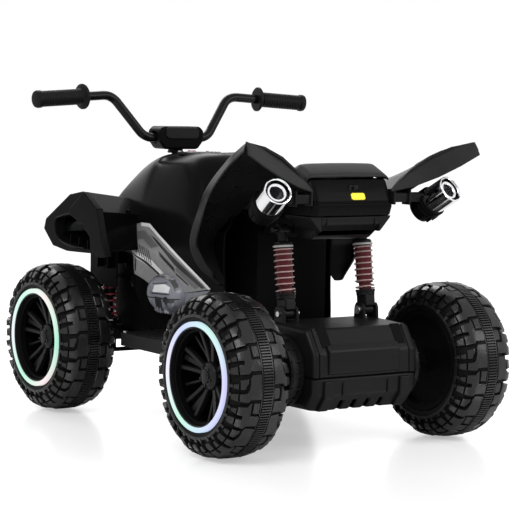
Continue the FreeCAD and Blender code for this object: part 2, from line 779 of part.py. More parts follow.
def front_fender(filled):
    """A hollow pod from the shell out over the wheel, open at its outer side."""
    x = FRONT_X
    z = s.tank_top
    outer_y = WHEEL_Y + 2
    inner_y = s.body_half_width - 40
    outline_out = [
        (x + 81, z - 160), (x + 73, z - 138), (x - 30, z - 82), (x - 85, z - 73), (x - 150, z - 111),
        (x - 172, z - 192), (x - 117, z - 196), (x - 20, z - 199), (x + 41, z - 192),
    ]
    outline_in = [
        (x + 128, z - 172), (x + 118, z - 150), (x + 36, z - 98), (x - 18, z - 94), (x - 74, z - 126),
        (x - 92, z - 192), (x - 50, z - 196), (x + 30, z - 198), (x + 92, z - 192),
    ]

    def ring(outline, y, inset):
        points = [vec(a, y, b) for a, b in outline]
        middle = sum(points, Vector()) / len(points)
        pulled = []
        for point in points:
            away = point - middle
            pulled.append(middle + away * (1 - inset / away.Length))
        return pulled

    wall = number(s.wall)
    pod = loft([ring(outline_in, inner_y, 0), ring(outline_out, outer_y, 0)])
    hollow = loft([ring(outline_in, inner_y - 1, wall * 1.5), ring(outline_out, outer_y - wall, wall * 1.5)])
    mouth = plate([
        (x + 29, z - 136), (x - 5, z - 128), (x - 39, z - 122), (x - 98, z - 137), (x - 134, z - 161),
        (x - 138, z - 186), (x - 86, z - 187), (x - 44, z - 185), (x + 2, z - 179), (x + 24, z - 166),
    ], outer_y - 6, outer_y + 10)
    blade = plate([
        (x - 50, z - 110), (x - 106, z - 73), (x - 163, z - 104), (x - 185, z - 167), (x - 200, z - 196),
        (x - 170, z - 200), (x - 138, z - 186), (x - 134, z - 161), (x - 98, z - 137), (x - 50, z - 122),
    ], outer_y - s.wall, outer_y + 6)
    low = s.nose_floor + 3
    liner = plate([
        (x + 85, z - 190), (x + 20, z - 195), (x - 95, z - 195), (x - 105, AXLE_Z + 4), (x - 27, AXLE_Z + 4),
        (x - 27, low), (x + 20, low), (x + 50, low + 50), (x + 88, low + 85),
    ], s.strut_y - 24, s.strut_y - 20)
    window = Part.makeBox(48, 20, 28, vec(x - 24, s.strut_y - 30, AXLE_Z + 145))
    turret = plate([
        (x + 42, z - 192), (x - 70, z - 193), (x - 70, AXLE_Z + 100), (x + 42, AXLE_Z + 112),
    ], s.strut_y + 20, s.strut_y + 23)
    lamp = Part.makeCylinder(24.3, 90, vec(x + 20, 178, z - 168), Vector(1, 0, 0))
    outside = pod.cut(hollow).fuse([blade, turret, liner.cut(window)])
    return outside.cut(mouth).cut(lamp).cut(filled).removeSplitter()


LEAF = [
    (90, 483), (125, 514), (172, 544), (215, 561), (259, 572), (262, 548), (180, 506), (130, 487), (90, 478),
]


def rear_fender(filled, tail):
    """A swept, arched wing with a flange along its outer edge and a leaf that closes its rear."""
    rear = REAR_X
    stations = [
        ((rear + 191, 147, 290), (rear + 194, 132, 290), 0),
        ((rear + 205, 171, 328), (rear + 222, 119, 324), 1),
        ((rear + 216, 185, 371), (rear + 240, 120, 366), 2),
        ((rear + 172, 208, 433), (rear + 210, 98, 420), 3),
        ((rear + 102, 230, 485), (rear + 145, 104, 462), 6),
        ((rear + 8, 248, 544), (rear + 48, 99, 488), 12),
        ((rear - 70, 259, 572), (rear - 35, 90, 483), 18),
    ]
    outer = [vec(*edge[0]) for edge in stations]
    inner = [vec(*edge[1]) for edge in stations]
    wall = number(s.wall)
    sections = []
    for index, (tip, root, arch) in enumerate(zip(outer, inner, [edge[2] for edge in stations])):
        before = max(index - 1, 0)
        after = min(index + 1, len(stations) - 1)
        along = outer[after] + inner[after] - outer[before] - inner[before]
        across = (tip - root).normalize()
        up = across.cross(along).normalize()
        middle = (root + tip) / 2 + up * arch
        sections.append([
            root,
            middle,
            tip,
            tip - up * 18,
            tip - up * 18 - across * 5,
            tip - up * wall - across * 5,
            middle - up * wall,
            root - up * wall,
        ])
    wing = loft(sections)
    corners = []
    for y, z in LEAF:
        x = rear - 35 - (y - 90) * 0.4713 + (z - 483) * 0.4964
        corners.append(vec(x, y, z))
    leaf = Part.Face(Part.makePolygon(corners + corners[:1])).extrude(vec(wall, 0, 0))
    return wing.fuse(leaf).cut(filled).cut(tail).removeSplitter()


def fenders(filled, tail):
    front = front_fender(filled)
    rear = rear_fender(filled, tail)
    for kind, shape in (("front_fender", front), ("rear_fender", rear)):
        part(kind + "_left", feature(kind + "_left", shape))
        part(kind + "_right", feature(kind + "_right", mirrored(shape)))


def headlights():
    lenses = []
    for name, side in SIDES:
        at = (side * 178.0, s.tank_top - 168)
        body = rod("lamp_body", "x", 24.0, (FRONT_X + 60, FRONT_X + 108), at)
        lenses.append(body)
    part("headlights", group("headlights", *lenses))


def bumper():
    x = FRONT_X
    front = x + s.tyre_radius
    low = s.nose_floor + 22
    solids = [
        block("bumper_bar", (front - 26, front), (-124.0, 124.0), (low, low + 54)),
        block("bumper_plate", (front - 20, front - 8), (-86.0, 86.0), (low + 53, low + 108)),
    ]
    arm_x = (x + 25 + s.part_gap, front - 20)
    for name, side in SIDES:
        solids.append(block("bumper_arm", arm_x, reach(side, 38.0, 52.0), (low + 8, low + 40)))
    part("front_bumper", fuse("front_bumper", *solids))


# Rear axle group.

def housing():
    x = REAR_X
    z = AXLE_Z
    split = z - 5
    wide = s.housing_half * 2
    gap = s.part_gap / 2
    wall = s.wall
    upper_out = [
        (x - 92, split + gap), (x - 90, z + 40), (x - 62, z + 82), (x + 58, z + 86), (x + 86, z + 55),
        (x + 86, split + gap),
    ]
    upper_in = [
        (x - 92 + wall, split - 9), (x - 90 + wall, z + 38), (x - 60, z + 82 - wall), (x + 56, z + 86 - wall),
        (x + 86 - wall, z + 53), (x + 86 - wall, split - 9),
    ]
    lower_out = [
        (x - 92, split - gap), (x - 91, z - 38), (x - 68, z - 68), (x + 64, z - 70), (x + 86, z - 46),
        (x + 86, split - gap),
    ]
    lower_in = [
        (x - 92 + wall, split + 9), (x - 91 + wall, z - 36), (x - 66, z - 68 + wall), (x + 62, z - 70 + wall),
        (x + 86 - wall, z - 44), (x + 86 - wall, split + 9),
    ]
    motor_at = (x + s.gear_module * (s.gear_teeth + s.pinion_teeth) / 2, z)
    through = (-s.housing_half - 5, s.housing_half + 5)
    for label, outline, hollow, ears in (
        ("axle_cover", upper_out, upper_in, True),
        ("skid_plate", lower_out, lower_in, False),
    ):
        full = slab(label + "_block", "XZ_Plane", wide, outline)
        room = slab(label + "_room", "XZ_Plane", wide - 6, hollow)
        tools = [
            room,
            rod("axle_way", "y", 8.0, through, (x, z)),
            rod("shaft_way", "y", 6.0, through, motor_at),
        ]
        for name, side in SIDES:
            tools.append(block("arm_way", (x + 70, x + 95), reach(side, 35.0, 53.0), (z - 16, z + 16)))
        base = full
        if ears:
            solids = [full]
            eye_x, eye_z = shock_ends()[0]
            for name, side in SIDES:
                for low in (-18.0, 12.0):
                    span = reach(side, s.shock_y + low, s.shock_y + low + 6)
                    solids.append(block("clevis", (eye_x - 14, eye_x + 14), span, (z + 84, eye_z + 14)))
                    tools.append(rod("clevis_hole", "y", 5.0, span, (eye_x, eye_z)))
            base = fuse("cover_with_ears", *solids)
        part(label, cut(label, base, *tools))


def shock_ends():
    """Lower and upper shock pins as (x, z)."""
    return (REAR_X + 36, AXLE_Z + 100), (REAR_X + 57, AXLE_Z + 255)


def rear_axle():
    at = (REAR_X, AXLE_Z)
    arms = [rod("pivot_tube", "y", 11.0, (-50.0, 50.0), (PIVOT_X, AXLE_Z))]
    nuts = []
    bolts = []
    eye = shock_ends()[0]
    for name, side in SIDES:
        span = reach(side, 38.0, 50.0)
        arms.append(block("arm", (REAR_X, PIVOT_X), span, (AXLE_Z - 12, AXLE_Z + 12)))
        arms.append(rod("axle_eye", "y", 16.0, span, at))
        nut = hex_nut("nut", 10.0, reach(side, WHEEL_Y + 26.8, WHEEL_Y + 33), at)
        nut_bore = rod("nut_bore", "y", s.axle_radius, reach(side, WHEEL_Y, WHEEL_Y + 40), at)
        nuts.append(cut("axle_nut", nut, nut_bore))
        shank = rod("bolt_shank", "y", 5.0, reach(side, s.shock_y - 18, s.shock_y + 21), eye)
        head = rod("bolt_head", "y", 8.0, reach(side, s.shock_y - 23, s.shock_y - 18), eye)
        bolts.append(fuse("shock_bolt", shank, head))
    holes = [
        rod("pivot_bore", "y", BORE, (-60.0, 60.0), (PIVOT_X, AXLE_Z)),
        rod("axle_bore", "y", s.axle_radius, (-60.0, 60.0), at),
    ]
    part("swing_arm", cut("swing_arm", fuse("arm_body", *arms), *holes))
    bar = rod("axle_bar", "y", s.axle_radius, (-WHEEL_Y - 35, WHEEL_Y + 35), at)
    part("rear_axle", group("rear_axle", bar, *nuts))
    part("shock_bolts", group("shock_bolts", *bolts))


def tooth_edges(teeth, phase, module):
    """Outline of a toothed wheel in the XZ plane, with arc flanks."""
    pitch = module * teeth / 2
    base = pitch * math.cos(math.radians(20))
    tip = pitch + 0.8 * module
    root = pitch - 1.1 * module
    start = max(base, root)
    slack = 0.25

    def half_angle(radius):
        pressure = math.acos(min(1.0, base / radius))
        full = math.tan(math.radians(20)) - math.radians(20)
        return math.pi / (2 * teeth) - slack / (2 * pitch) + full - math.tan(pressure) + pressure

    def point(radius, angle):
        return Vector(radius * math.cos(angle), 0, radius * math.sin(angle))

    edges = []
    for index in range(teeth):
        middle = phase + index * 2 * math.pi / teeth
        following = middle + 2 * math.pi / teeth
        half_way = (start + tip) / 2
        low, mid, high = half_angle(start), half_angle(half_way), half_angle(tip)
        rising = [point(start, middle - low), point(half_way, middle - mid), point(tip, middle - high)]
        falling = [point(tip, middle + high), point(half_way, middle + mid), point(start, middle + low)]
        if root < start:
            edges.append(Part.LineSegment(point(root, middle - low), rising[0]).toShape())
        edges.append(Part.Arc(*rising).toShape())
        edges.append(Part.Arc(rising[2], point(tip, middle), falling[0]).toShape())
        edges.append(Part.Arc(*falling).toShape())
        if root < start:
            edges.append(Part.LineSegment(falling[2], point(root, middle + low)).toShape())
        halfway = (middle + following) / 2
        ends = (point(min(root, start), middle + low), point(min(root, start), following - low))
        if root >= start:
            ends = (falling[2], point(start, following - low))
        edges.append(Part.Arc(ends[0], point(ends[0].Length, halfway), ends[1]).toShape())
    return Part.Wire(edges)


def drive():
    module = number(s.gear_module)
    gear_teeth = int(number(s.gear_teeth))
    pinion_teeth = int(number(s.pinion_teeth))
    apart = s.gear_module * (s.gear_teeth + s.pinion_teeth) / 2
    motor_at = (REAR_X + apart, AXLE_Z)
    near = s.housing_half + s.part_gap
    far = s.housing_half + 34
    drum_radius = apart + s.gear_module * s.pinion_teeth / 2 + 6
    cases = []
    motors = []
    for name, side in SIDES:
        at = (REAR_X, AXLE_Z)
        drum = rod("drum", "y", drum_radius, reach(side, near, far), at)
        room = rod("drum_room", "y", drum_radius - 3, reach(side, near + 3, far - 3), at)
        axle_way = rod("drum_axle_way", "y", s.axle_radius, reach(side, near - 5, near + 10), at)
        hub_way = rod("drum_hub_way", "y", 17.0, reach(side, far - 10, far + 5), at)
        shaft_way = rod("drum_shaft_way", "y", 4.0, reach(side, near - 5, near + 10), motor_at)
        cases.append(cut("gearbox_case", drum, room, axle_way, hub_way, shaft_way))
        can = rod("motor_can", "y", s.motor_radius, reach(side, near - 61, near - 3.6), motor_at)
        boss = rod("motor_boss", "y", 5.5, reach(side, near - 4, near - 0.1), motor_at)
        bore = rod("motor_bore", "y", 3.0 + s.running_gap, reach(side, near - 20, near + 5), motor_at)
        motors.append(cut("motor", fuse("motor_body", can, boss), bore))
        teeth_y = reach(side, near + 6, near + 20)
        for kind, teeth, phase, centre in (
            ("drive_gear_", gear_teeth, 0.0, REAR_X),
            ("motor_pinion_", pinion_teeth, math.pi / pinion_teeth, REAR_X + apart),
        ):
            face = Part.Face(tooth_edges(teeth, phase, module))
            wheel = face.extrude(vec(0, teeth_y[1] - teeth_y[0], 0))
            wheel.translate(vec(0, teeth_y[0], 0))
            if kind == "drive_gear_":
                low, high = reach(side, near + 6, WHEEL_Y - 52.3)
                hub = Part.makeCylinder(16, number(high - low), vec(0, low, 0), Vector(0, 1, 0))
                bore = Part.makeCylinder(number(BORE), 400, Vector(0, -200, 0), Vector(0, 1, 0))
                bore.translate(Vector(0, 200 * side, 0))
                wheel = wheel.fuse(hub).cut(bore)
            else:
                low, high = reach(side, near - 18, near + 22)
                shaft = Part.makeCylinder(3, number(high - low), vec(0, low, 0), Vector(0, 1, 0))
                wheel = wheel.fuse(shaft)
            part(kind + name, place(feature(kind + name, wheel), (centre, 0.0, AXLE_Z)))
    part("gearbox_cases", group("gearbox_cases", *cases))
    part("motors", group("motors", *motors))


def rear_shocks():
    low, high = shock_ends()
    bottom = vec(low[0], 0, low[1])
    top = vec(high[0], 0, high[1])
    along = (top - bottom).normalize()
    lean = Rotation(Vector(0, 0, 1), along)
    rod_radius = number(s.shock_rod)
    tubes = []
    rods = []
    coils = []
    length = top.distanceToPoint(bottom)

    def piece(radius, start, end):
        return Part.makeCylinder(radius, end - start, Vector(0, 0, start))

    for name, side in SIDES:
        y = side * number(s.shock_y)
        eye = Part.makeCylinder(10, 22, Vector(0, -11, 0), Vector(0, 1, 0))
        hole = Part.makeCylinder(5 + number(s.running_gap), 30, Vector(0, -15, 0), Vector(0, 1, 0))
        tube = eye.fuse([piece(17, 19, 38), piece(10, 5, 20), piece(12, 37, 82)])
        tube = tube.cut(piece(rod_radius + 0.4, 22, 90)).cut(hole)
        upper_eye = eye.translated(Vector(0, 0, length))
        upper = upper_eye.fuse([piece(rod_radius, 50, length - 5), piece(18, 122, 133)])
        upper = upper.cut(hole.translated(Vector(0, 0, length)))
        coil = spring(number(s.rear_spring_radius), number(s.rear_wire), 82.4, 8)
        coil.translate(Vector(0, 0, 38.8))
        for shape, target in ((tube, tubes), (upper, rods), (coil, coils)):
            shape.Placement = Placement(bottom + Vector(0, y, 0), lean).multiply(shape.Placement)
            target.append(shape)
    part("rear_shock_tubes", feature("rear_shock_tubes", Part.makeCompound(tubes)))
    part("rear_shock_rods", feature("rear_shock_rods", Part.makeCompound(rods)))
    part("rear_springs", feature("rear_springs", Part.makeCompound(coils)))


# Tail, seat and exhaust.

def tail():
    x = REAR_X
    base = s.seat_base
    roof = s.seat_base + 73
    outline = [
        (x + 88, base + 6), (x + 88, base + 11), (x + 24, roof), (x - 21, roof), (x - 43, roof - 49),
        (x - 39, base + 6),
    ]
    wall = s.wall
    hollow = [
        (x + 80, base - 30), (x + 80, base + 9), (x + 24, roof - wall), (x - 18, roof - wall),
        (x - 38, roof - 50), (x - 35, base - 30),
    ]
    full = slab("tail_block", "XZ_Plane", s.tail_half_width * 2, outline)
    room = slab("tail_room", "XZ_Plane", s.tail_half_width * 2 - 8, hollow)
    slot = block("latch_recess", (x - 60, x - 34), (-16.0, 4.0), (roof - 21, roof - 10))
    tail_part = part("tail_housing", cut("tail_housing", full, room, slot))
    tower_top = base + 6 - s.part_gap
    tower_back = x - 35
    half = s.tower_half_width
    low = base - 39
    tower_front = PIVOT_X + 20 - s.part_gap
    box = slab("tower_block", "XZ_Plane", half * 2, [
        (tower_back, tower_top), (tower_back + 2, low + 30), (tower_back + 36, low), (tower_front, low),
        (tower_front, tower_top),
    ])
    bay = slab("tower_bay", "XZ_Plane", half * 2 - 10, [
        (tower_back + 5, tower_top + 1), (tower_back + 7, low + 32), (tower_back + 38, low + 5),
        (tower_front - 5, low + 5), (tower_front - 5, tower_top + 1),
    ])
    eye = shock_ends()[1]
    hole = rod("tower_hole", "y", 5.0, (-half - 5, half + 5), eye)
    step = block("tower_step", (x + 89, x + 160), (-half - 5, half + 5), (base, tower_top + 5))
    part("shock_tower", cut("shock_tower", box, bay, hole, step))
    return tail_part


def seat():
    x = REAR_X
    base = s.seat_base
    wide = s.seat_half_width
    stations = [
        (x + 272, wide - 32, base + 20, wide - 14, base + 6),
        (x + 205, wide - 12, base + 24, wide, base + 6),
        (x + 130, wide - 10, base + 38, wide, base + 6),
        (x + 95, wide - 11, base + 58, wide, base + 6),
        (x + 60, wide - 12, base + 80, wide, base + 40),
        (x + 25, wide - 13, base + 97, wide - 1, base + 74),
        (x + 10, wide - 14, base + 98, wide - 1, base + 74),
        (x - 18, wide - 14, base + 84, wide - 2, base + 74),
    ]

    def form(inset):
        sections = []
        for index, (place_x, top_y, top_z, low_y, low_z) in enumerate(stations):
            rise = low_z + (top_z - low_z) * 0.55
            half = [(low_y - inset, low_z - 2 * inset), (low_y - inset, rise), (top_y - inset, top_z - inset)]
            end = {0: -inset, len(stations) - 1: inset}.get(index, 0)
            left = [vec(place_x + end, a, b) for a, b in half]
            right = [vec(place_x + end, -a, b) for a, b in reversed(half)]
            sections.append(left + right)
        return loft(sections)

    solid = form(0).cut(form(number(s.wall)))
    hinge = vec(FRONT_X - 335, 0, base + 10)
    tabs = []
    for side in (1, -1):
        low, high = reach(side, 48, 60)
        tab = Part.makeBox(16, high - low, 9, hinge + Vector(-16, low, -4))
        tabs.append(tab)
        tabs.append(Part.makeCylinder(5.5, high - low, hinge + Vector(0, low, 0), Vector(0, 1, 0)))
    bore = Part.makeCylinder(4 + number(s.running_gap), 160, hinge + Vector(0, -80, 0), Vector(0, 1, 0))
    part("seat", feature("seat", solid.fuse(tabs).cut(bore)))


def exhaust():
    tips = []
    cans = []
    radius = number(s.exhaust_radius)
    long = number(s.exhaust_length)
    forward = Vector(0.845, -0.17, -0.507).normalize()
    end = vec(REAR_X - 80, 196, s.seat_base + 57)

    def along(size, start, stop):
        return Part.makeCylinder(size, stop - start, end + forward * start, forward)

    tip = along(radius, 0, long).cut(along(radius - 4, -1, long - 10))
    can = along(radius + 4, long - 16, long + 4)
    can = can.fuse(Part.makeCone(radius + 4, radius - 3, 32, end + forward * (long + 3), forward))
    side = number(s.tail_half_width) + number(s.part_gap)
    strut = Part.makeBox(16, end.y - side - 10, 18, vec(REAR_X - 38, side, s.seat_base + 30))
    can = can.fuse(strut).cut(along(radius + 0.2, -1, long + 0.3))
    for shape, target in ((tip, tips), (can, cans)):
        target.append(shape)
        target.append(mirrored(shape))
    part("exhaust_tips", feature("exhaust_tips", Part.makeCompound(tips)))
    part("exhaust_cans", feature("exhaust_cans", Part.makeCompound(cans)))


# Foot rests, engine covers, dash and controls.

PEDAL_AT = (20.0, s.rest_top + 7)
PEDAL_Y = -s.body_half_width - 43


def foot_rests():
    for name, side in SIDES:
        top = s.rest_top
        inner = s.body_half_width - 8
        tray = block("rest_tray", (-80.0, 105.0), reach(side, inner, REST_Y), (top - 26, top))
        under = block("rest_under", (-75.0, 100.0), reach(side, inner + 5, REST_Y - 5), (top - 30, top - 6))
        arm_y = reach(side, s.tub_half_width + s.part_gap, inner + 14)
        arm = block("rest_arm", (-60.0, 85.0), arm_y, (top - 34, top - 18))
        solids = [cut("rest_shell", tray, under), arm]
        for index in range(7):
            x = -62.0 + index * 24
            if side < 0 and 0 < x < 100:
                continue
            ridge_y = reach(side, inner + 12, REST_Y - 12)
            solids.append(block("rest_ridge", (x, x + 6), ridge_y, (top - 1, top + 2)))
        tools = []
        if side < 0:
            for low in (PEDAL_Y - 34, PEDAL_Y + 28):
                span = (low, low + 6)
                ear_x = (PEDAL_AT[0] - 8, PEDAL_AT[0] + 8)
                solids.append(block("pedal_ear", ear_x, span, (top - 1, PEDAL_AT[1] + 7)))
                tools.append(rod("pedal_hole", "y", 3.0, span, PEDAL_AT))
        rest = fuse("rest_body", *solids)
        label = "foot_rest_" + name
        part(label, cut(label, rest, *tools) if tools else rest)


def pedal():
    x, z = PEDAL_AT
    tube = Part.makeCylinder(6, 50, vec(x, PEDAL_Y - 25, z), Vector(0, 1, 0))
    plate = Part.makeBox(72, 50, 6, vec(x, PEDAL_Y - 25, z - 1))
    plate.rotate(vec(x, 0, z), Vector(0, 1, 0), -26)
    bore = Part.makeCylinder(3 + number(s.running_gap), 60, vec(x, PEDAL_Y - 30, z), Vector(0, 1, 0))
    part("accelerator_pedal", feature("accelerator_pedal", tube.fuse(plate).cut(bore)))


def engine_covers(filled):
    y = number(s.body_half_width)
    wires = []
    for place_y, wide, tall in ((y - 25, 68, 43), (y + 6, 62, 38), (y + 18, 44, 24)):
        centre = vec(FRONT_X - 220, place_y, 253)
        edge = Part.Ellipse(centre, wide, tall).toShape()
        edge.rotate(centre, Vector(1, 0, 0), 90)
        wires.append(Part.Wire(edge))
    dome = Part.makeLoft(wires, True, True).cut(filled)
    part("engine_covers", feature("engine_covers", Part.makeCompound([dome, mirrored(dome)])))


BUTTON_AT = (185.0, 20.0)
SWITCH_AT = (150.0, -16.0)


def dash():
    z = s.tank_top + s.part_gap
    plate = block("dash_plate", (105.0, 215.0), (-40.0, 40.0), (z, z + 6))
    button_way = rod("button_way", "z", 9.4, (z - 1, z + 10), BUTTON_AT)
    switch_x = (SWITCH_AT[0] - 12, SWITCH_AT[0] + 12)
    switch_y = (SWITCH_AT[1] - 6.5, SWITCH_AT[1] + 6.5)
    switch_way = block("switch_way", switch_x, switch_y, (z - 1, z + 10))
    part("dash_panel", cut("dash_panel", plate, button_way, switch_way))
    part("start_button", rod("start_button", "z", 9.0, (z + 3, z + 10), BUTTON_AT))
    rocker_x = (SWITCH_AT[0] - 11, SWITCH_AT[0] + 11)
    rocker_y = (SWITCH_AT[1] - 6, SWITCH_AT[1] + 6)
    rocker = block("rocker", rocker_x, rocker_y, (z + 2.4, z + 9))
    belly = rod("rocker_belly", "y", 4.2, rocker_y, (SWITCH_AT[0], z + 5.2))
    part("direction_switch", fuse("direction_switch", rocker, belly))
    screws = []
    for x in (111.0, 209.0):
        for y in (-34.0, 34.0):
            screws.append(rod("screw", "z", 3.5, (z + 6, z + 8), (x, y)))
    for name, side in SIDES:
        for x in (-70.0, 96.0):
            screws.append(rod("screw", "z", 4.5, (s.rest_top, s.rest_top + 2.5), (x, side * (REST_Y - 10))))
    part("screws", group("screws", *screws))


def pins():
    eye = shock_ends()[1]
    reach_y = s.shock_y + 22
    pedal_span = (PEDAL_Y - 36, PEDAL_Y + 36)
    part("pivot_pins", group(
        "pivot_pins",
        rod("swing_pin", "y", s.axle_radius, (-64.0, 64.0), (PIVOT_X, AXLE_Z)),
        rod("shock_pin", "y", 5.0, (-reach_y, reach_y), eye),
        rod("seat_rod", "y", 4.0, (-72.0, 72.0), (FRONT_X - 335, s.seat_base + 10)),
        rod("pedal_pin", "y", 3.0, pedal_span, PEDAL_AT),
    ))


wheels()
front_axle()
for side_name, side_sign in SIDES:
    knuckle(side_name, side_sign)
tie_rod()
column()
handlebar()
grips()
bar_cover()
front_struts()
chassis_tub()
inner_units()
filled_shell = shell_solid(0.0)
body_shell(filled_shell)
tail_object = tail()
doc.recompute()
fenders(filled_shell, tail_object.Shape)
headlights()
bumper()
housing()
rear_axle()
drive()
rear_shocks()
seat()
exhaust()
foot_rests()
pedal()
engine_covers(filled_shell)
dash()
pins()
doc.recompute()

# Every object must be up to date and valid before anything is written.
for item in doc.Objects:
    if "Invalid" in item.State or "Error" in item.State:
        raise RuntimeError("%s is %s" % (item.Name, item.State))
os.makedirs("parts", exist_ok=True)
for item in PARTS:
    shape = item.Shape
    if not shape.isValid() or not shape.Solids:
        raise RuntimeError("%s has no valid solid" % item.Label)
    shape.exportStep("parts/%s.step" % item.Label)
print("%d parts written" % len(PARTS))
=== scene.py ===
"""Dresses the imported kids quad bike: moulded panels, treaded tyres, springs, lights and finishes.

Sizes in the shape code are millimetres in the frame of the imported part: +X forward, +Y to the rider's left
and +Z up.
"""

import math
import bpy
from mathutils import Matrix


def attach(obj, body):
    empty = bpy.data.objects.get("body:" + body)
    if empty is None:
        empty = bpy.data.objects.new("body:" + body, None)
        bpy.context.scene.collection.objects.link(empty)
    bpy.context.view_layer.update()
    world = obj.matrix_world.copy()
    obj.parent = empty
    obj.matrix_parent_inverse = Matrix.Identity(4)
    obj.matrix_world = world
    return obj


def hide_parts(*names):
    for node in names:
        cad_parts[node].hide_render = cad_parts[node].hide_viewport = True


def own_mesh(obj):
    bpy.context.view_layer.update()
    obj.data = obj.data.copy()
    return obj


bl_info = {
    "name": "Kids Quad Bike",
    "version": (1, 0, 0),
    "blender": (4, 5, 0),
    "location": "View3D > Sidebar > Quad Bike",
    "description": "Builds the visible pieces of a battery quad bike around its packed frame",
    "category": "Object",
}

import bmesh
import bpy
from bpy.props import FloatProperty, FloatVectorProperty, IntProperty, PointerProperty
from mathutils import Matrix, Vector
from mathutils.bvhtree import BVHTree

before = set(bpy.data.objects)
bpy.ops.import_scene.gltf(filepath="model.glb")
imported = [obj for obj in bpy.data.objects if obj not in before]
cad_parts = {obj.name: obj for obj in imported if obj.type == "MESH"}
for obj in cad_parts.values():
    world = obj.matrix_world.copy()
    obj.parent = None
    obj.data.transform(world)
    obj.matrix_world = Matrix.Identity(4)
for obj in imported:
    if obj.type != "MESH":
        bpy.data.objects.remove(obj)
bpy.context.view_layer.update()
MM = 0.001
SIDES = (("left", 1), ("right", -1))

# Places that several pieces share. A pair holds the two coordinates across the pin, tube or cover's axis.
FRONT_X = 310.0
REAR_X = -310.0
ENDS = (("front", FRONT_X), ("rear", REAR_X))
WHEEL_Y = 254.0
AXLE_Z = 150.0
HALF_TYRE = 61.0
COLUMN_AT = (282.0, 0.0)
BAR_AT = (281.0, 558.0)
SEAT_PIN = (-25.0, 438.0)
PEDAL_PIN = (20.0, 187.0)
STRUT_Y = 138.0
LAMP_Y = 178.0
LAMP_Z = 357.0
BUTTON_AT = (185.0, 20.0)
COVER_AT = (90.0, 253.0)


def colour_of(name, description, default):
    return FloatVectorProperty(name=name, description=description, default=default, subtype="COLOR", size=3,
                               min=0, max=1)


def length_of(name, description, default):
    return FloatProperty(name=name, description=description, default=default, unit="LENGTH", min=0)


class QuadColours(bpy.types.PropertyGroup):
    shell: colour_of("Shell", "Gloss black of the body panels", (0.0035, 0.0035, 0.0038))
    frame_black: colour_of("Frame", "Satin black of the chassis mouldings", (0.0055, 0.0055, 0.0058))
    tyre: colour_of("Tyre", "Black of the blown tyres", (0.0060, 0.0058, 0.0057))
    rim: colour_of("Rim", "Black of the wheel rims", (0.0065, 0.0065, 0.0068))
    seat: colour_of("Seat", "Grained black of the seat", (0.012, 0.012, 0.0125))
    engine: colour_of("Engine", "Grey of the side covers", (0.17, 0.17, 0.20))
    decal: colour_of("Decal", "Middle grey of the side decal", (0.22, 0.22, 0.22))
    # The rear springs' pale rose is lighter than their red: it paints in the highlights on the coils.
    spring_rear: colour_of("Rear springs", "Pale rose paint of the rear springs", (0.36, 0.235, 0.225))
    spring_front: colour_of("Front springs", "Red paint of the front springs", (0.30, 0.035, 0.05))
    plate: colour_of("Plate", "Yellow of the small plain plate on the tail", (0.90, 0.72, 0.01))
    floor: colour_of("Floor", "Pale studio floor", (0.93, 0.93, 0.93))


class QuadSizes(bpy.types.PropertyGroup):
    tread_pairs: IntProperty(name="Tread pairs", description="Pairs of tread blocks around a tyre", default=9,
                             min=3)
    tread_height: length_of("Tread height", "Height of the tread blocks", 0.004)
    rib_height: length_of("Rib height", "Height of the fine ribs in the tread's middle band", 0.0032)
    spokes: IntProperty(name="Spokes", description="Double spokes of a rim", default=5, min=3)
    edge: length_of("Edge", "Rounding of the panel edges", 0.0025)
    wall: length_of("Wall", "Thickness of the moulded panels", 0.004)
    rear_coils: FloatProperty(name="Rear coils", description="Turns of a rear spring", default=8.0, min=2)
    front_coils: FloatProperty(name="Front coils", description="Turns of a front spring", default=6.5, min=2)


# Finishes.

def node_in(tree, kind, place, **values):
    node = tree.nodes.new(kind)
    node.location = place
    for key, value in values.items():
        if key in node.inputs:
            node.inputs[key].default_value = value
        else:
            setattr(node, key, value)
    return node


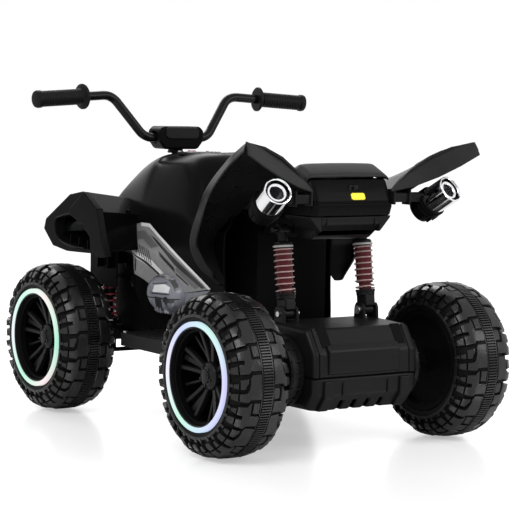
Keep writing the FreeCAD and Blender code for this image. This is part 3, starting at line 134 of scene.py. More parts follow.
def moulded(name, colour, rough, grain=900.0, depth=0.06, spread=0.10, vary=0.35, metal=0.0, coat=0.0,
            lift=1.6, shine=0.5):
    """A finish whose colour, gloss and fine grain change a little over the surface."""
    made = bpy.data.materials.new(name)
    made.use_nodes = True
    tree = made.node_tree
    shader = tree.nodes["Principled BSDF"]
    shader.inputs["Metallic"].default_value = metal
    shader.inputs["Coat Weight"].default_value = coat
    shader.inputs["Specular IOR Level"].default_value = shine
    shader.inputs["Coat Roughness"].default_value = 0.08
    where = node_in(tree, "ShaderNodeTexCoord", (-1100, 0))
    cloud = node_in(tree, "ShaderNodeTexNoise", (-880, 200), Scale=9.0, Detail=4.0, Roughness=0.6)
    fine = node_in(tree, "ShaderNodeTexNoise", (-880, -200), Scale=grain, Detail=2.0, Roughness=0.5)
    tree.links.new(where.outputs["Object"], cloud.inputs["Vector"])
    tree.links.new(where.outputs["Object"], fine.inputs["Vector"])
    blend = node_in(tree, "ShaderNodeMix", (-560, 260), data_type="RGBA")
    share = node_in(tree, "ShaderNodeMapRange", (-720, 260))
    share.inputs["From Min"].default_value = 0.35
    share.inputs["From Max"].default_value = 0.70
    share.inputs["To Max"].default_value = vary
    tree.links.new(cloud.outputs["Fac"], share.inputs["Value"])
    tree.links.new(share.outputs["Result"], blend.inputs[0])
    blend.inputs[6].default_value = (*colour, 1)
    blend.inputs[7].default_value = (*[min(1, part * lift) for part in colour], 1)
    tree.links.new(blend.outputs[2], shader.inputs["Base Color"])
    gloss = node_in(tree, "ShaderNodeMapRange", (-560, 0))
    gloss.inputs["From Min"].default_value = 0.3
    gloss.inputs["From Max"].default_value = 0.7
    gloss.inputs["To Min"].default_value = rough - spread / 2
    gloss.inputs["To Max"].default_value = rough + spread / 2
    tree.links.new(cloud.outputs["Fac"], gloss.inputs["Value"])
    tree.links.new(gloss.outputs["Result"], shader.inputs["Roughness"])
    bump = node_in(tree, "ShaderNodeBump", (-320, -200), Strength=depth, Distance=0.0006)
    tree.links.new(fine.outputs["Fac"], bump.inputs["Height"])
    tree.links.new(bump.outputs["Normal"], shader.inputs["Normal"])
    return made


def glowing(name, tints, centre, strength):
    """Frosted ring whose glow drifts between tints around the wheel's middle."""
    made = bpy.data.materials.new(name)
    made.use_nodes = True
    tree = made.node_tree
    shader = tree.nodes["Principled BSDF"]
    shader.inputs["Base Color"].default_value = (0.06, 0.06, 0.06, 1)
    shader.inputs["Roughness"].default_value = 0.35
    shader.inputs["Emission Strength"].default_value = strength
    where = node_in(tree, "ShaderNodeTexCoord", (-1100, 0))
    moved = node_in(tree, "ShaderNodeMapping", (-900, 0))
    moved.inputs["Location"].default_value = [-part * MM for part in centre]
    turn = node_in(tree, "ShaderNodeMapping", (-720, 0))
    turn.inputs["Rotation"].default_value = (math.pi / 2, 0, 0)
    around = node_in(tree, "ShaderNodeTexGradient", (-540, 0), gradient_type="RADIAL")
    ramp = node_in(tree, "ShaderNodeValToRGB", (-340, 0))
    tree.links.new(where.outputs["Object"], moved.inputs["Vector"])
    tree.links.new(moved.outputs["Vector"], turn.inputs["Vector"])
    tree.links.new(turn.outputs["Vector"], around.inputs["Vector"])
    tree.links.new(around.outputs["Fac"], ramp.inputs["Fac"])
    stops = ramp.color_ramp.elements
    stops[0].color = (*tints[0], 1)
    stops[-1].color = (*tints[0], 1)
    for index, tint in enumerate(tints[1:], 1):
        stops.new(index / len(tints)).color = (*tint, 1)
    tree.links.new(ramp.outputs["Color"], shader.inputs["Emission Color"])
    return made


FINISHES = {}


def finish(name):
    return FINISHES[name]


def make_finishes(colours):
    FINISHES.update({
        "shell": moulded("shell_gloss_black", colours.shell, 0.24, grain=260, depth=0.02, spread=0.08,
                         shine=0.025),
        "frame": moulded("frame_satin_black", colours.frame_black, 0.40, grain=1400, depth=0.10, shine=0.10),
        "tyre": moulded("tyre_blown_black", colours.tyre, 0.31, grain=200, depth=0.55, vary=0.6, shine=0.33),
        # The carcass is darker than the tread blocks: painted shade in the gaps between the blocks.
        "groove": moulded("tyre_carcass_painted_shade", (0.0022, 0.0021, 0.0021), 0.5, grain=240, depth=0.3,
                          shine=0.08),
        "rim": moulded("rim_satin_black", colours.rim, 0.28, grain=900, depth=0.05, shine=0.16),
        "seat": moulded("seat_grained_black", colours.seat, 0.38, grain=520, depth=0.30, shine=0.15),
        "engine": moulded("engine_grey", colours.engine, 0.36, grain=900, depth=0.08, lift=1.25),
        "engine_pale": moulded("engine_pale_band", (0.62, 0.62, 0.63), 0.40, grain=900, depth=0.05, lift=1.1),
        "leaf": moulded("leaf_grained_black", (0.0095, 0.0095, 0.010), 0.42, grain=420, depth=0.60, vary=0.8,
                        lift=2.4, shine=0.12),
        "wing": moulded("wing_gloss_black", (0.0092, 0.0092, 0.0095), 0.26, grain=120, depth=0.10,
                        shine=0.10),
        # A near-black for pieces inside and behind the body: painted shade, darker than their plastic is
        # under any lamp.
        "inner": moulded("inner_painted_shade_black", (0.0012, 0.0012, 0.0013), 0.55, grain=900, depth=0.10,
                         shine=0.05),
        "rubber": moulded("grip_rubber", (0.0042, 0.0042, 0.0042), 0.50, grain=1600, depth=0.15, shine=0.10),
        "metal_black": moulded("black_coated_steel", (0.004, 0.004, 0.0043), 0.26, grain=700, depth=0.05,
                               shine=0.12),
        "steel": moulded("plain_steel", (0.55, 0.55, 0.57), 0.32, grain=1500, depth=0.08, metal=1.0,
                         lift=1.2),
        "chrome": moulded("chrome_end_pipe", (0.86, 0.86, 0.88), 0.07, grain=200, depth=0.004, spread=0.05,
                          metal=1.0, lift=1.05),
        # Pale rose on the rear coils: the spring's red with its highlights painted in.
        "spring_rear": moulded("spring_rose_painted_highlight", colours.spring_rear, 0.25, grain=700, depth=0.03, lift=1.1,
                               coat=0.3),
        "spring_front": moulded("spring_red", colours.spring_front, 0.30, grain=700, depth=0.03, lift=1.3,
                                coat=0.3),
        "core": moulded("shock_core_red", (0.072, 0.009, 0.013), 0.16, grain=700, depth=0.02, shine=0.12),
        "cap": moulded("shock_cap_grey", (0.38, 0.37, 0.36), 0.38, grain=700, depth=0.05, lift=1.2),
        "plate": moulded("plain_yellow_plate", colours.plate, 0.42, grain=500, depth=0.02, lift=1.05),
        "nylon": moulded("gear_nylon", (0.72, 0.72, 0.69), 0.45, grain=800, depth=0.06, lift=1.1),
        "button": moulded("button_red", (0.14, 0.008, 0.008), 0.30, grain=700, depth=0.04, coat=0.2),
        "switch": moulded("switch_grey", (0.20, 0.20, 0.21), 0.45, grain=900, depth=0.06),
        "lens": moulded("lamp_lens", (0.70, 0.72, 0.75), 0.10, grain=160, depth=0.05, lift=1.1, coat=0.6),
        "decal": moulded("decal_grey", colours.decal, 0.30, grain=600, depth=0.02, lift=1.15),
        "decal_pale": moulded("decal_pale", (0.66, 0.66, 0.66), 0.30, grain=600, depth=0.02, lift=1.1),
        "decal_mid": moulded("decal_mid", (0.12, 0.12, 0.12), 0.32, grain=600, depth=0.02, lift=1.2),
        "decal_dark": moulded("decal_dark", (0.02, 0.02, 0.02), 0.32, grain=600, depth=0.02),
    })


# Shapes: points and faces in millimetres, and what helps to draw and place them.

def along(axis, a, b, t):
    """A point at t on the axis and (a, b) across it."""
    return {"x": (t, a, b), "y": (a, t, b), "z": (a, b, t)}[axis]


def prism(outline, axis, low, high):
    count = len(outline)
    points = [along(axis, a, b, low) for a, b in outline] + [along(axis, a, b, high) for a, b in outline]
    faces = [tuple(range(count)), tuple(range(count, 2 * count))]
    for i in range(count):
        j = (i + 1) % count
        faces.append((i, j, count + j, count + i))
    return points, faces


def brick(x, y, z):
    return prism([(x[0], y[0]), (x[1], y[0]), (x[1], y[1]), (x[0], y[1])], "z", *z)


def circle(radius, steps, centre=(0.0, 0.0), stretch=1.0):
    """Points of a circle, or of an ellipse where the second coordinate is stretched."""
    points = []
    for i in range(steps):
        angle = 2 * math.pi / steps * i
        points.append((centre[0] + radius * math.cos(angle), centre[1] + stretch * radius * math.sin(angle)))
    return points


def rod(axis, radius, span, centre, steps=32):
    return prism(circle(radius, steps, centre), axis, *span)


def skin(sections, wrap=True, capped=True, closed=False):
    """Joins rings of equal length into a skin."""
    count = len(sections[0])
    points = [tuple(point) for section in sections for point in section]
    faces = []
    rows = len(sections) if closed else len(sections) - 1
    for row in range(rows):
        here = row * count
        there = ((row + 1) % len(sections)) * count
        for i in range(count if wrap else count - 1):
            j = (i + 1) % count
            faces.append((here + i, here + j, there + j, there + i))
    if capped and not closed:
        faces.append(tuple(range(count)))
        faces.append(tuple(range(len(points) - count, len(points))))
    return points, faces


def lathe(profile, steps, axis="y", centre=(0.0, 0.0)):
    """Turns a closed line of (radius, along) pairs about the axis."""
    sections = []
    for i in range(steps):
        angle = 2 * math.pi * i / steps
        ring = []
        for radius, t in profile:
            a = centre[0] + radius * math.sin(angle)
            b = centre[1] + radius * math.cos(angle)
            ring.append(along(axis, a, b, t))
        sections.append(ring)
    return skin(sections, capped=False, closed=True)


def pipe(path, radius, steps):
    """A round wire along a list of points."""
    path = [Vector(point) for point in path]
    sections = []
    side = None
    for i, point in enumerate(path):
        ahead = (path[min(i + 1, len(path) - 1)] - path[max(i - 1, 0)]).normalized()
        if side is None:
            side = ahead.orthogonal().normalized()
        side = (side - ahead * side.dot(ahead)).normalized()
        up = ahead.cross(side)
        ring = []
        for k in range(steps):
            angle = 2 * math.pi * k / steps
            ring.append(point + (side * math.cos(angle) + up * math.sin(angle)) * radius)
        sections.append(ring)
    return skin(sections)


def flowing(knots, count):
    """Points on a smooth line through the knots."""
    knots = [Vector(knot) for knot in knots]
    line = []
    for i in range(count):
        t = i / (count - 1) * (len(knots) - 1)
        k = min(int(t), len(knots) - 2)
        f = t - k
        a = knots[max(k - 1, 0)]
        b = knots[k]
        c = knots[k + 1]
        d = knots[min(k + 2, len(knots) - 1)]
        if k == 0:
            a = 2 * b - c
        if k + 2 > len(knots) - 1:
            d = 2 * c - b
        bend = (2 * a - 5 * b + 4 * c - d) * f * f
        twist = (3 * b - a - 3 * c + d) * f ** 3
        line.append(0.5 * (2 * b + (c - a) * f + bend + twist))
    return line


def flipped(shape):
    points, faces = shape
    return [(x, -y, z) for x, y, z in points], faces


def shifted(shape, by):
    points, faces = shape
    return [tuple(Vector(point) + Vector(by)) for point in points], faces


def reach(side, near, far):
    """The low and high y of a stretch that lies between near and far on one side."""
    return sorted((side * near, side * far))


def mirror_to(side):
    """The matrix that takes a shape of the left side to the given side."""
    return Matrix.Diagonal((1, side, 1, 1))


def pointing(place, along_z):
    """The matrix that stands a shape drawn on the Z axis at a place, pointing along a direction."""
    lean = Vector((0, 0, 1)).rotation_difference(along_z).to_matrix().to_4x4()
    return Matrix.Translation(place * MM) @ lean


# Turning shapes into pieces.

def plain_mesh(shape, merged=True):
    """A mesh of the shape; where merged, its doubles are joined and its faces point outwards."""
    points, faces = shape
    mesh = bpy.data.meshes.new("shape")
    mesh.from_pydata([Vector(point) * MM for point in points], [], faces)
    if merged:
        work = bmesh.new()
        work.from_mesh(mesh)
        bmesh.ops.remove_doubles(work, verts=work.verts, dist=1e-6)
        bmesh.ops.recalc_face_normals(work, faces=work.faces)
        work.to_mesh(mesh)
        work.free()
    return mesh


def held(mesh):
    obj = bpy.data.objects.new(mesh.name, mesh)
    bpy.context.scene.collection.objects.link(obj)
    return obj


def held_as(mesh, name):
    mesh.name = name
    obj = held(mesh)
    obj.name = name
    return obj


def discard(obj):
    mesh = obj.data
    bpy.data.objects.remove(obj)
    bpy.data.meshes.remove(mesh)


def real_mesh(obj):
    """The object's mesh with its modifiers made real."""
    bpy.context.view_layer.update()
    return bpy.data.meshes.new_from_object(obj.evaluated_get(bpy.context.evaluated_depsgraph_get()))


def settled(obj):
    """The object's real mesh alone; the object goes."""
    mesh = real_mesh(obj)
    discard(obj)
    return mesh


def settle(obj):
    """Makes the piece's modifiers real, so that its mesh is final."""
    old = obj.data
    mesh = real_mesh(obj)
    obj.modifiers.clear()
    obj.data = mesh
    bpy.data.meshes.remove(old)


def through_points(shape, levels, rounds=4):
    """A smooth mesh that passes through the points of its cage."""
    obj = held(plain_mesh(shape, merged=False))
    goal = [vert.co.copy() for vert in obj.data.vertices]
    soften = obj.modifiers.new("smooth", "SUBSURF")
    soften.levels = levels
    soften.render_levels = levels
    for i in range(rounds):
        bpy.context.view_layer.update()
        smooth = obj.evaluated_get(bpy.context.evaluated_depsgraph_get()).data
        miss = [goal[k] - smooth.vertices[k].co for k in range(len(goal))]
        for vert, off in zip(obj.data.vertices, miss):
            vert.co += off
        obj.data.update()
    return settled(obj)


def facing_up(mesh):
    """Turns the faces of an open skin outwards, as its highest face shows."""
    work = bmesh.new()
    work.from_mesh(mesh)
    bmesh.ops.recalc_face_normals(work, faces=work.faces)
    if max(work.faces, key=lambda face: face.calc_center_median().z).normal.z < 0:
        bmesh.ops.reverse_faces(work, faces=work.faces)
    work.to_mesh(mesh)
    work.free()
    return mesh


def walled(mesh, wall, even):
    """An open skin given a wall on its inner side."""
    obj = held(mesh)
    thicken = obj.modifiers.new("wall", "SOLIDIFY")
    thicken.thickness = wall
    thicken.offset = -1
    thicken.use_even_offset = even
    return settled(obj)


def surface_of(mesh):
    """The mesh as a surface that rays can be cast at."""
    work = bmesh.new()
    work.from_mesh(mesh)
    surface = BVHTree.FromBMesh(work)
    work.free()
    return surface


def sliced(work, place, across):
    """Cuts all faces along a plane, so that they can bend there."""
    every = work.verts[:] + work.edges[:] + work.faces[:]
    bmesh.ops.bisect_plane(work, geom=every, plane_co=place, plane_no=across)


# Edges that bend by more than this many degrees are rounded.
ROUNDED_FROM = 28.0


def shaped(shape, edge=0.0, rounds=3, cuts=()):
    """A mesh of the shape with holes cut and edges rounded."""
    obj = held(plain_mesh(shape) if isinstance(shape, tuple) else shape)
    tools = []
    for cutter in cuts:
        tool = held(plain_mesh(cutter))
        tools.append(tool)
        knife = obj.modifiers.new("cut", "BOOLEAN")
        knife.operation = "DIFFERENCE"
        knife.solver = "EXACT"
        knife.object = tool
    if edge:
        round_off = obj.modifiers.new("edge", "BEVEL")
        round_off.width = edge * MM
        round_off.segments = rounds
        round_off.limit_method = "ANGLE"
        round_off.angle_limit = math.radians(ROUNDED_FROM)
        round_off.use_clamp_overlap = not cuts
    mesh = settled(obj)
    for tool in tools:
        discard(tool)
    return mesh


class Mould:
    """Gathers shapes into one piece with several finishes."""

    def __init__(self, *finishes):
        self.work = bmesh.new()
        self.finishes = finishes

    def add(self, shape, tone=0, **how):
        mesh = shape if isinstance(shape, bpy.types.Mesh) else shaped(shape, **how)
        first = len(self.work.faces)
        self.work.from_mesh(mesh)
        self.work.faces.ensure_lookup_table()
        for face in self.work.faces[first:]:
            face.material_index = tone
        bpy.data.meshes.remove(mesh)

    def on_side(self, side, shape, tone=0, **how):
        """The shape as it is drawn on the left, or its mirror image on the right."""
        if side < 0:
            shape = flipped(shape)
            how["cuts"] = [flipped(cutter) for cutter in how.get("cuts", ())]
        self.add(shape, tone, **how)

    def both(self, shape, tone=0, **how):
        """The shape and its mirror image across the middle plane."""
        for name, side in SIDES:
            self.on_side(side, shape, tone, **how)

    def spun(self, profile, steps, where, tone=0):
        """A shape turned about the Z axis and then put in its place."""
        self.add(placed(shaped(lathe(profile, steps, "z")), where), tone)

    def mesh(self, name):
        mesh = bpy.data.meshes.new(name)
        self.work.to_mesh(mesh)
        self.work.free()
        for tone in self.finishes:
            mesh.materials.append(finish(tone))
        return mesh

    def release(self, name, body, covers=(), sharp=38.0):
        return dress(held_as(self.mesh(name), name), body, covers, sharp)


def dress(obj, body, covers=(), sharp=38.0):
    mesh = obj.data
    mesh.polygons.foreach_set("use_smooth", [True] * len(mesh.polygons))
    mesh.set_sharp_from_angle(angle=math.radians(sharp))
    weigh = obj.modifiers.new("even_shading", "WEIGHTED_NORMAL")
    weigh.keep_sharp = True
    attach(obj, body)
    if covers:
        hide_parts(*covers)
    return obj


def copies_tree(name, extra, kind):
    """A tree that takes a mesh, a count, one more input and a material."""
    tree = bpy.data.node_groups.new(name, "GeometryNodeTree")
    face = tree.interface
    for title, socket in (("Geometry", "NodeSocketGeometry"), ("Count", "NodeSocketInt"), (extra, kind),
                          ("Material", "NodeSocketMaterial")):
        face.new_socket(title, in_out="INPUT", socket_type=socket)
    face.new_socket("Geometry", in_out="OUTPUT", socket_type="NodeSocketGeometry")
    return tree, node_in(tree, "NodeGroupInput", (-900, 0)), node_in(tree, "NodeGroupOutput", (700, 0))


def ring_tree():
    """Copies of a mesh turned about the Y axis, as one mesh."""
    tree, enter, leave = copies_tree("turned_copies", "Start", "NodeSocketFloat")
    line = node_in(tree, "GeometryNodeMeshLine", (-640, 160))
    line.inputs["Offset"].default_value = (0, 0, 0)
    index = node_in(tree, "GeometryNodeInputIndex", (-840, -200))
    step = node_in(tree, "ShaderNodeMath", (-640, -140), operation="DIVIDE")
    turn = node_in(tree, "ShaderNodeMath", (-460, -200), operation="MULTIPLY_ADD")
    turn.inputs[1].default_value = 2 * math.pi
    angles = node_in(tree, "ShaderNodeCombineXYZ", (-280, -200))
    copies = node_in(tree, "GeometryNodeInstanceOnPoints", (-60, 60))
    real = node_in(tree, "GeometryNodeRealizeInstances", (160, 60))
    weld = node_in(tree, "GeometryNodeMergeByDistance", (340, 60))
    weld.inputs["Distance"].default_value = 1e-6
    paint = node_in(tree, "GeometryNodeSetMaterial", (520, 60))
    link = tree.links.new
    link(enter.outputs["Count"], line.inputs["Count"])
    link(index.outputs["Index"], step.inputs[0])
    link(enter.outputs["Count"], step.inputs[1])
    link(step.outputs[0], turn.inputs[0])
    link(enter.outputs["Start"], turn.inputs[2])
    link(turn.outputs[0], angles.inputs["Y"])
    link(line.outputs["Mesh"], copies.inputs["Points"])
    link(enter.outputs["Geometry"], copies.inputs["Instance"])
    link(angles.outputs["Vector"], copies.inputs["Rotation"])
    link(copies.outputs["Instances"], real.inputs["Geometry"])
    link(real.outputs["Geometry"], weld.inputs["Geometry"])
    link(weld.outputs["Geometry"], paint.inputs["Geometry"])
    link(enter.outputs["Material"], paint.inputs["Material"])
    link(paint.outputs["Geometry"], leave.inputs["Geometry"])
    return tree


def row_tree():
    """Copies of a mesh set in a straight row, as one mesh."""
    tree, enter, leave = copies_tree("row_copies", "Step", "NodeSocketVector")
    line = node_in(tree, "GeometryNodeMeshLine", (-460, 160))
    copies = node_in(tree, "GeometryNodeInstanceOnPoints", (-220, 60))
    real = node_in(tree, "GeometryNodeRealizeInstances", (20, 60))
    paint = node_in(tree, "GeometryNodeSetMaterial", (260, 60))
    link = tree.links.new
    link(enter.outputs["Count"], line.inputs["Count"])
    link(enter.outputs["Step"], line.inputs["Offset"])
    link(line.outputs["Mesh"], copies.inputs["Points"])
    link(enter.outputs["Geometry"], copies.inputs["Instance"])
    link(copies.outputs["Instances"], real.inputs["Geometry"])
    link(real.outputs["Geometry"], paint.inputs["Geometry"])
    link(enter.outputs["Material"], paint.inputs["Material"])
    link(paint.outputs["Geometry"], leave.inputs["Geometry"])
    return tree


COPIES = {"turned_copies": ring_tree, "row_copies": row_tree}


def repeated(mesh, tree_name, tone, **inputs):
    """The mesh repeated by one of the trees."""
    tree = bpy.data.node_groups.get(tree_name) or COPIES[tree_name]()
    obj = held(mesh)
    repeat = obj.modifiers.new("repeat", "NODES")
    repeat.node_group = tree
    inputs["Material"] = finish(tone)
    for socket in tree.interface.items_tree:
        if socket.in_out == "INPUT" and socket.name in inputs:
            repeat[socket.identifier] = inputs[socket.name]
    made = settled(obj)
    made.materials.clear()
    return made


def turned(mesh, count, tone, start=0.0):
    return repeated(mesh, "turned_copies", tone, Count=count, Start=start)


def in_row(mesh, count, step, tone):
    return repeated(mesh, "row_copies", tone, Count=count, Step=[part * MM for part in step])


def placed(mesh, matrix):
    """The mesh moved by a matrix in metres; a mirror image keeps its faces outwards."""
    mesh.transform(matrix)
    if matrix.determinant() < 0:
        mesh.flip_normals()
    return mesh


def at_wheel(x, side):
    return Matrix.Translation(Vector((x, side * WHEEL_Y, AXLE_Z)) * MM) @ mirror_to(side)


# Wheels.

# The carcass as (across, radius), from the middle of the tread to the bead.
CARCASS = [
    (0.0, 146.0), (11.0, 145.8), (24.0, 143.6), (35.5, 138.8), (44.0, 132.2), (49.8, 124.6), (53.6, 116.4),
    (56.0, 110.0), (56.5, 104.5), (55.0, 100.6),
]


def tread_point(angle, across, height, side):
    """A point above the carcass: angle in degrees, across in millimetres from the middle band."""
    walked = 0.0
    for (y0, r0), (y1, r1) in zip(CARCASS, CARCASS[1:]):
        step = math.hypot(y1 - y0, r1 - r0)
        if across <= walked + step or (y1, r1) == CARCASS[-1]:
            share = (across - walked) / step
            y = y0 + (y1 - y0) * share
            r = r0 + (r1 - r0) * share
            y += -(r1 - r0) / step * height
            r += (y1 - y0) / step * height
            turn = math.radians(angle)
            return Vector((r * math.sin(turn), side * y, r * math.cos(turn))) * MM
        walked += step


# Millimetres around the tread in one degree, where a flat block is cut so that it can bend, and its foot's
# height, which is just inside the carcass.
DEGREE = 2.58
CUT_EVERY = 5
FOLDS = (20, 28, 36, 44, 52, 58, 66, 74)
ROOT = -1.2


def tread_blocks(target, outlines, side, shift):
    """Raised blocks drawn flat as (angle, across) and bent over the carcass."""
    for outline, height in outlines:
        angles = [angle for angle, across in outline]
        levels = [across for angle, across in outline]
        work = bmesh.new()
        base = work.faces.new([work.verts.new((angle * DEGREE, across, ROOT)) for angle, across in outline])
        around = zip(outline, outline[1:] + outline[:1])
        if sum(a0 * v1 - a1 * v0 for (a0, v0), (a1, v1) in around) < 0:
            base.normal_flip()
        grown = bmesh.ops.extrude_face_region(work, geom=[base])
        top = [item for item in grown["geom"] if isinstance(item, bmesh.types.BMFace)]
        lift = [item for item in grown["geom"] if isinstance(item, bmesh.types.BMVert)]
        bmesh.ops.translate(work, verts=lift, vec=(0, 0, height + 0.4))
        bmesh.ops.inset_region(work, faces=top, thickness=0.9, depth=0.8, use_even_offset=True)
        bmesh.ops.delete(work, geom=[base], context="FACES_ONLY")
        cut = math.ceil(min(angles) / CUT_EVERY) * CUT_EVERY
        while cut < max(angles):
            sliced(work, (cut * DEGREE, 0, 0), (1, 0, 0))
            cut += CUT_EVERY
        for level in FOLDS:
            if min(levels) < level < max(levels):
                sliced(work, (0, level, 0), (0, 1, 0))
        for vert in work.verts:
            angle, across, raised = vert.co
            # Blocks grow taller towards the shoulder, and their tops are a little uneven.
            if raised > 0:
                raised *= 1 + 1.05 * min(max((across - 22) / 22, 0), 1)
                raised += 0.7 * math.sin(angle * 0.37 + across * 0.23) - 0.5
            vert.co = tread_point(angle / DEGREE + shift, across, raised, side)
        if side < 0:
            bmesh.ops.reverse_faces(work, faces=work.faces)
        part = bpy.data.meshes.new("block")
        work.to_mesh(part)
        work.free()
        target.from_mesh(part)
        bpy.data.meshes.remove(part)


# The fine ribs of one tread segment: their count, the radius they stand on and half their length.
RIBS = 20
RIB_ROOT = 145.9
RIB_HALF = 10


def tread_ribs(work, span, height):
    """Fine ribs across the tread's middle band, each a little narrower at its top."""
    pitch = span / RIBS
    for i in range(RIBS):
        low = i * pitch + pitch * 0.22
        top = i * pitch + pitch * 0.72
        corners = []
        for rise, slope in ((-0.5, 0.0), (height, 0.35)):
            near = low + slope * 0.2
            far = top - slope * 0.2
            for angle, across in ((near, -RIB_HALF + slope), (far, -RIB_HALF + slope),
                                  (far, RIB_HALF - slope), (near, RIB_HALF - slope)):
                turn = math.radians(angle)
                r = RIB_ROOT + rise
                corners.append(work.verts.new(Vector((r * math.sin(turn), across, r * math.cos(turn))) * MM))
        a, b, c, d, e, f, g, h = corners
        for face in ((e, f, g, h), (a, b, f, e), (b, c, g, f), (c, d, h, g), (d, a, e, h)):
            work.faces.new(face)


def tread_segment(sizes):
    """Two blocks of each half, their shoulder lugs and the fine ribs between the halves."""
    high = sizes.tread_height / MM
    span = 360.0 / sizes.tread_pairs
    half = span / 2
    blocks = [
        ([(0.8, 13), (8.8, 13), (8.8, 28.0), (half - 1.6, 28.8), (half - 1.6, 31), (half - 4.0, 35),
          (half - 4.6, 49), (8.8, 49), (8.4, 41), (6.2, 41), (5.8, 49), (-1.2, 49), (-1.2, 35),
          (0.8, 31)], high + 0.4),
        ([(10.6, 13), (half - 1.6, 13), (half - 1.6, 25.6), (10.6, 25.2)], high - 1.0),
        ([(half + 0.8, 13), (span - 1.6, 13), (span - 1.6, 30), (span - 4.0, 33.4), (half + 12, 33.4),
          (half + 5.6, 37.6), (half + 5.0, 49), (half - 1.2, 49), (half - 1.2, 35),
          (half + 0.8, 31)], high),
        ([(half + 12.8, 36.6), (span - 4.2, 36.6), (span - 4.8, 49), (half + 7.8, 49), (half + 7.8, 40.6)],
         high - 0.7),
    ]
    for start in (0.0, half):
        wide = 6.8 if start == 0 else 6.2
        lug = [(start - 1.2, 50.4), (start - 1.2 + wide, 50.4), (start - 2.0 + wide, 64), (start - 0.4, 64)]
        blocks.append((lug, high + 0.4))
        far = start + (8.8 if start == 0 else 7.8)
        blocks.append(([(far, 50.4), (far + 4.8, 50.4), (far + 4.0, 61), (far + 0.8, 61)], high - 0.2))
        blocks.append(([(start + 0.2, 66), (start + 4.4, 66), (start + 4.0, 75), (start + 0.8, 75)],
                       high * 0.5))
        blocks.append(([(far + 0.6, 63), (far + 4.2, 63), (far + 3.8, 74), (far + 1.0, 74)], high * 0.5))
    work = bmesh.new()
    tread_blocks(work, blocks, 1, 0.0)
    tread_blocks(work, blocks, -1, half / 2)
    tread_ribs(work, span, sizes.rib_height / MM)
    bmesh.ops.recalc_face_normals(work, faces=work.faces)
    mesh = bpy.data.meshes.new("tread_segment")
    work.to_mesh(mesh)
    work.free()
    return mesh


def tyre_mesh(sizes):
    """The hollow carcass with bead ridges, the band's edges and the tread."""
    outer = [(r, y) for y, r in CARCASS]
    hollow = [(97.6, -55.0), (97.6, -44.5), (106.0, -43.0), (112.0, -52.0), (124.0, -50.0), (136.0, -32.0),
              (140.0, 0.0), (136.0, 32.0), (124.0, 50.0), (112.0, 52.0), (106.0, 45.0)]
    body = Mould("tyre", "groove")
    # The carcass takes the darker finish, as painted shade between the tread blocks.
    body.add(lathe([(100.6, 46.8)] + outer[::-1] + [(r, -y) for r, y in outer[1:-1]] + hollow, 108), 1)
    ridge = [(111.5, 55.4), (112.5, 58.0), (110.0, 59.2), (107.5, 58.8), (106.5, 56.0)]
    band_edge = [(147.6, 10.6), (147.6, 12.0), (145.0, 12.2), (145.0, 10.4)]
    for profile, steps in ((ridge, 96), (band_edge, 108)):
        for name, side in SIDES:
            body.add(lathe([(r, side * y) for r, y in profile], steps))
    body.add(turned(tread_segment(sizes), sizes.tread_pairs, "tyre"))
    return body.mesh("tyre")


def spoke_bar(angle_in, angle_out, wide_in, wide_out, top, deep):
    """One bar of a spoke from the hub to the barrel, with its front corners eased."""
    sections = []
    for share in (0.0, 0.18, 0.5, 0.82, 1.0):
        r = 18.0 + share * 65.0
        angle = angle_in + (angle_out - angle_in) * share
        wide = (wide_in + (wide_out - wide_in) * share) / 2
        face = HALF_TYRE - 36.0 + 12.5 * share ** 1.6 + top
        middle = Vector((math.sin(angle), 0, math.cos(angle))) * r
        cross = Vector((math.cos(angle), 0, -math.sin(angle)))
        ring = []
        for offset, y in ((-wide, face - deep), (-wide, face - 2.0), (-wide * 0.7, face), (wide * 0.7, face),
                          (wide, face - 2.0), (wide, face - deep)):
            ring.append(middle + cross * offset + Vector((0, y, 0)))
        sections.append(ring)
    return skin(sections)


def rim_mesh(sizes):
    """The barrel with its front lip, the spokes, the hub cap, bolts and pips."""
    half = HALF_TYRE
    body = Mould("rim", "inner")
    barrel = [
        (80.5, half - 24.0), (81.5, half - 12.6), (83.4, half - 11.2), (99.0, half - 11.2),
        (99.0, half - 13.8), (96.8, half - 14.0), (96.8, -half + 5.4), (95.6, -half + 4.6),
        (87.0, -half + 5.0), (80.4, -half + 15.2), (22.0, -half + 15.2), (21.4, -half + 9.4),
        (6.1, -half + 9.0), (6.1, half - 36.0), (21.0, half - 36.0),
        (22.0, -half + 19.0), (92.5, -half + 19.0), (92.5, half - 28.0), (86.0, half - 28.0),
    ]
    # The barrel seen through the spokes is in the black with painted shade.
    body.add(lathe(barrel, 96), 1)
    lip = [(87.0, half - 11.6), (87.4, half - 4.2), (88.2, half - 3.4), (90.0, half - 3.4),
           (90.0, half - 11.6)]
    body.add(lathe(lip, 96))
    step = 2 * math.pi / sizes.spokes
    gap = step * 0.16
    spoke = Mould("rim")
    for side in (-1, 1):
        spoke.add(spoke_bar(side * gap, side * gap * 1.15, 8.0, 8.5, 1.5, 11.0), edge=0.6, rounds=1)
    spoke.add(spoke_bar(0.0, 0.0, 7.0, 13.0, -5.0, 5.0), edge=0.5, rounds=1)
    spoke.add(spoke_bar(step / 2, step / 2, 5.0, 6.0, -7.5, 4.0), edge=0.5, rounds=1)
    body.add(turned(spoke.mesh("spoke"), sizes.spokes, "rim"))
    hub = [(0.0, half - 20.6), (8.0, half - 20.9), (12.6, half - 22.2), (13.4, half - 24.4),
           (16.2, half - 24.4), (18.8, half - 26.2), (20.6, half - 27.6), (23.4, half - 28.4),
           (25.4, half - 30.5), (26.2, half - 40.0), (0.0, half - 40.0)]
    body.add(lathe(hub, 64))
    bolt = shifted(prism(circle(2.6, 6), "y", half - 26.4, half - 22.4), (16.4, 0, 0))
    body.add(turned(shaped(bolt, edge=0.5, rounds=1), sizes.spokes, "rim", start=0.3))
    pip = shifted(prism(circle(2.2, 12), "y", half - 13.0, half - 10.4), (90.0, 0, 0))
    body.add(turned(shaped(pip, edge=0.4, rounds=1), sizes.spokes * 2, "rim"))
    return body.mesh("rim")


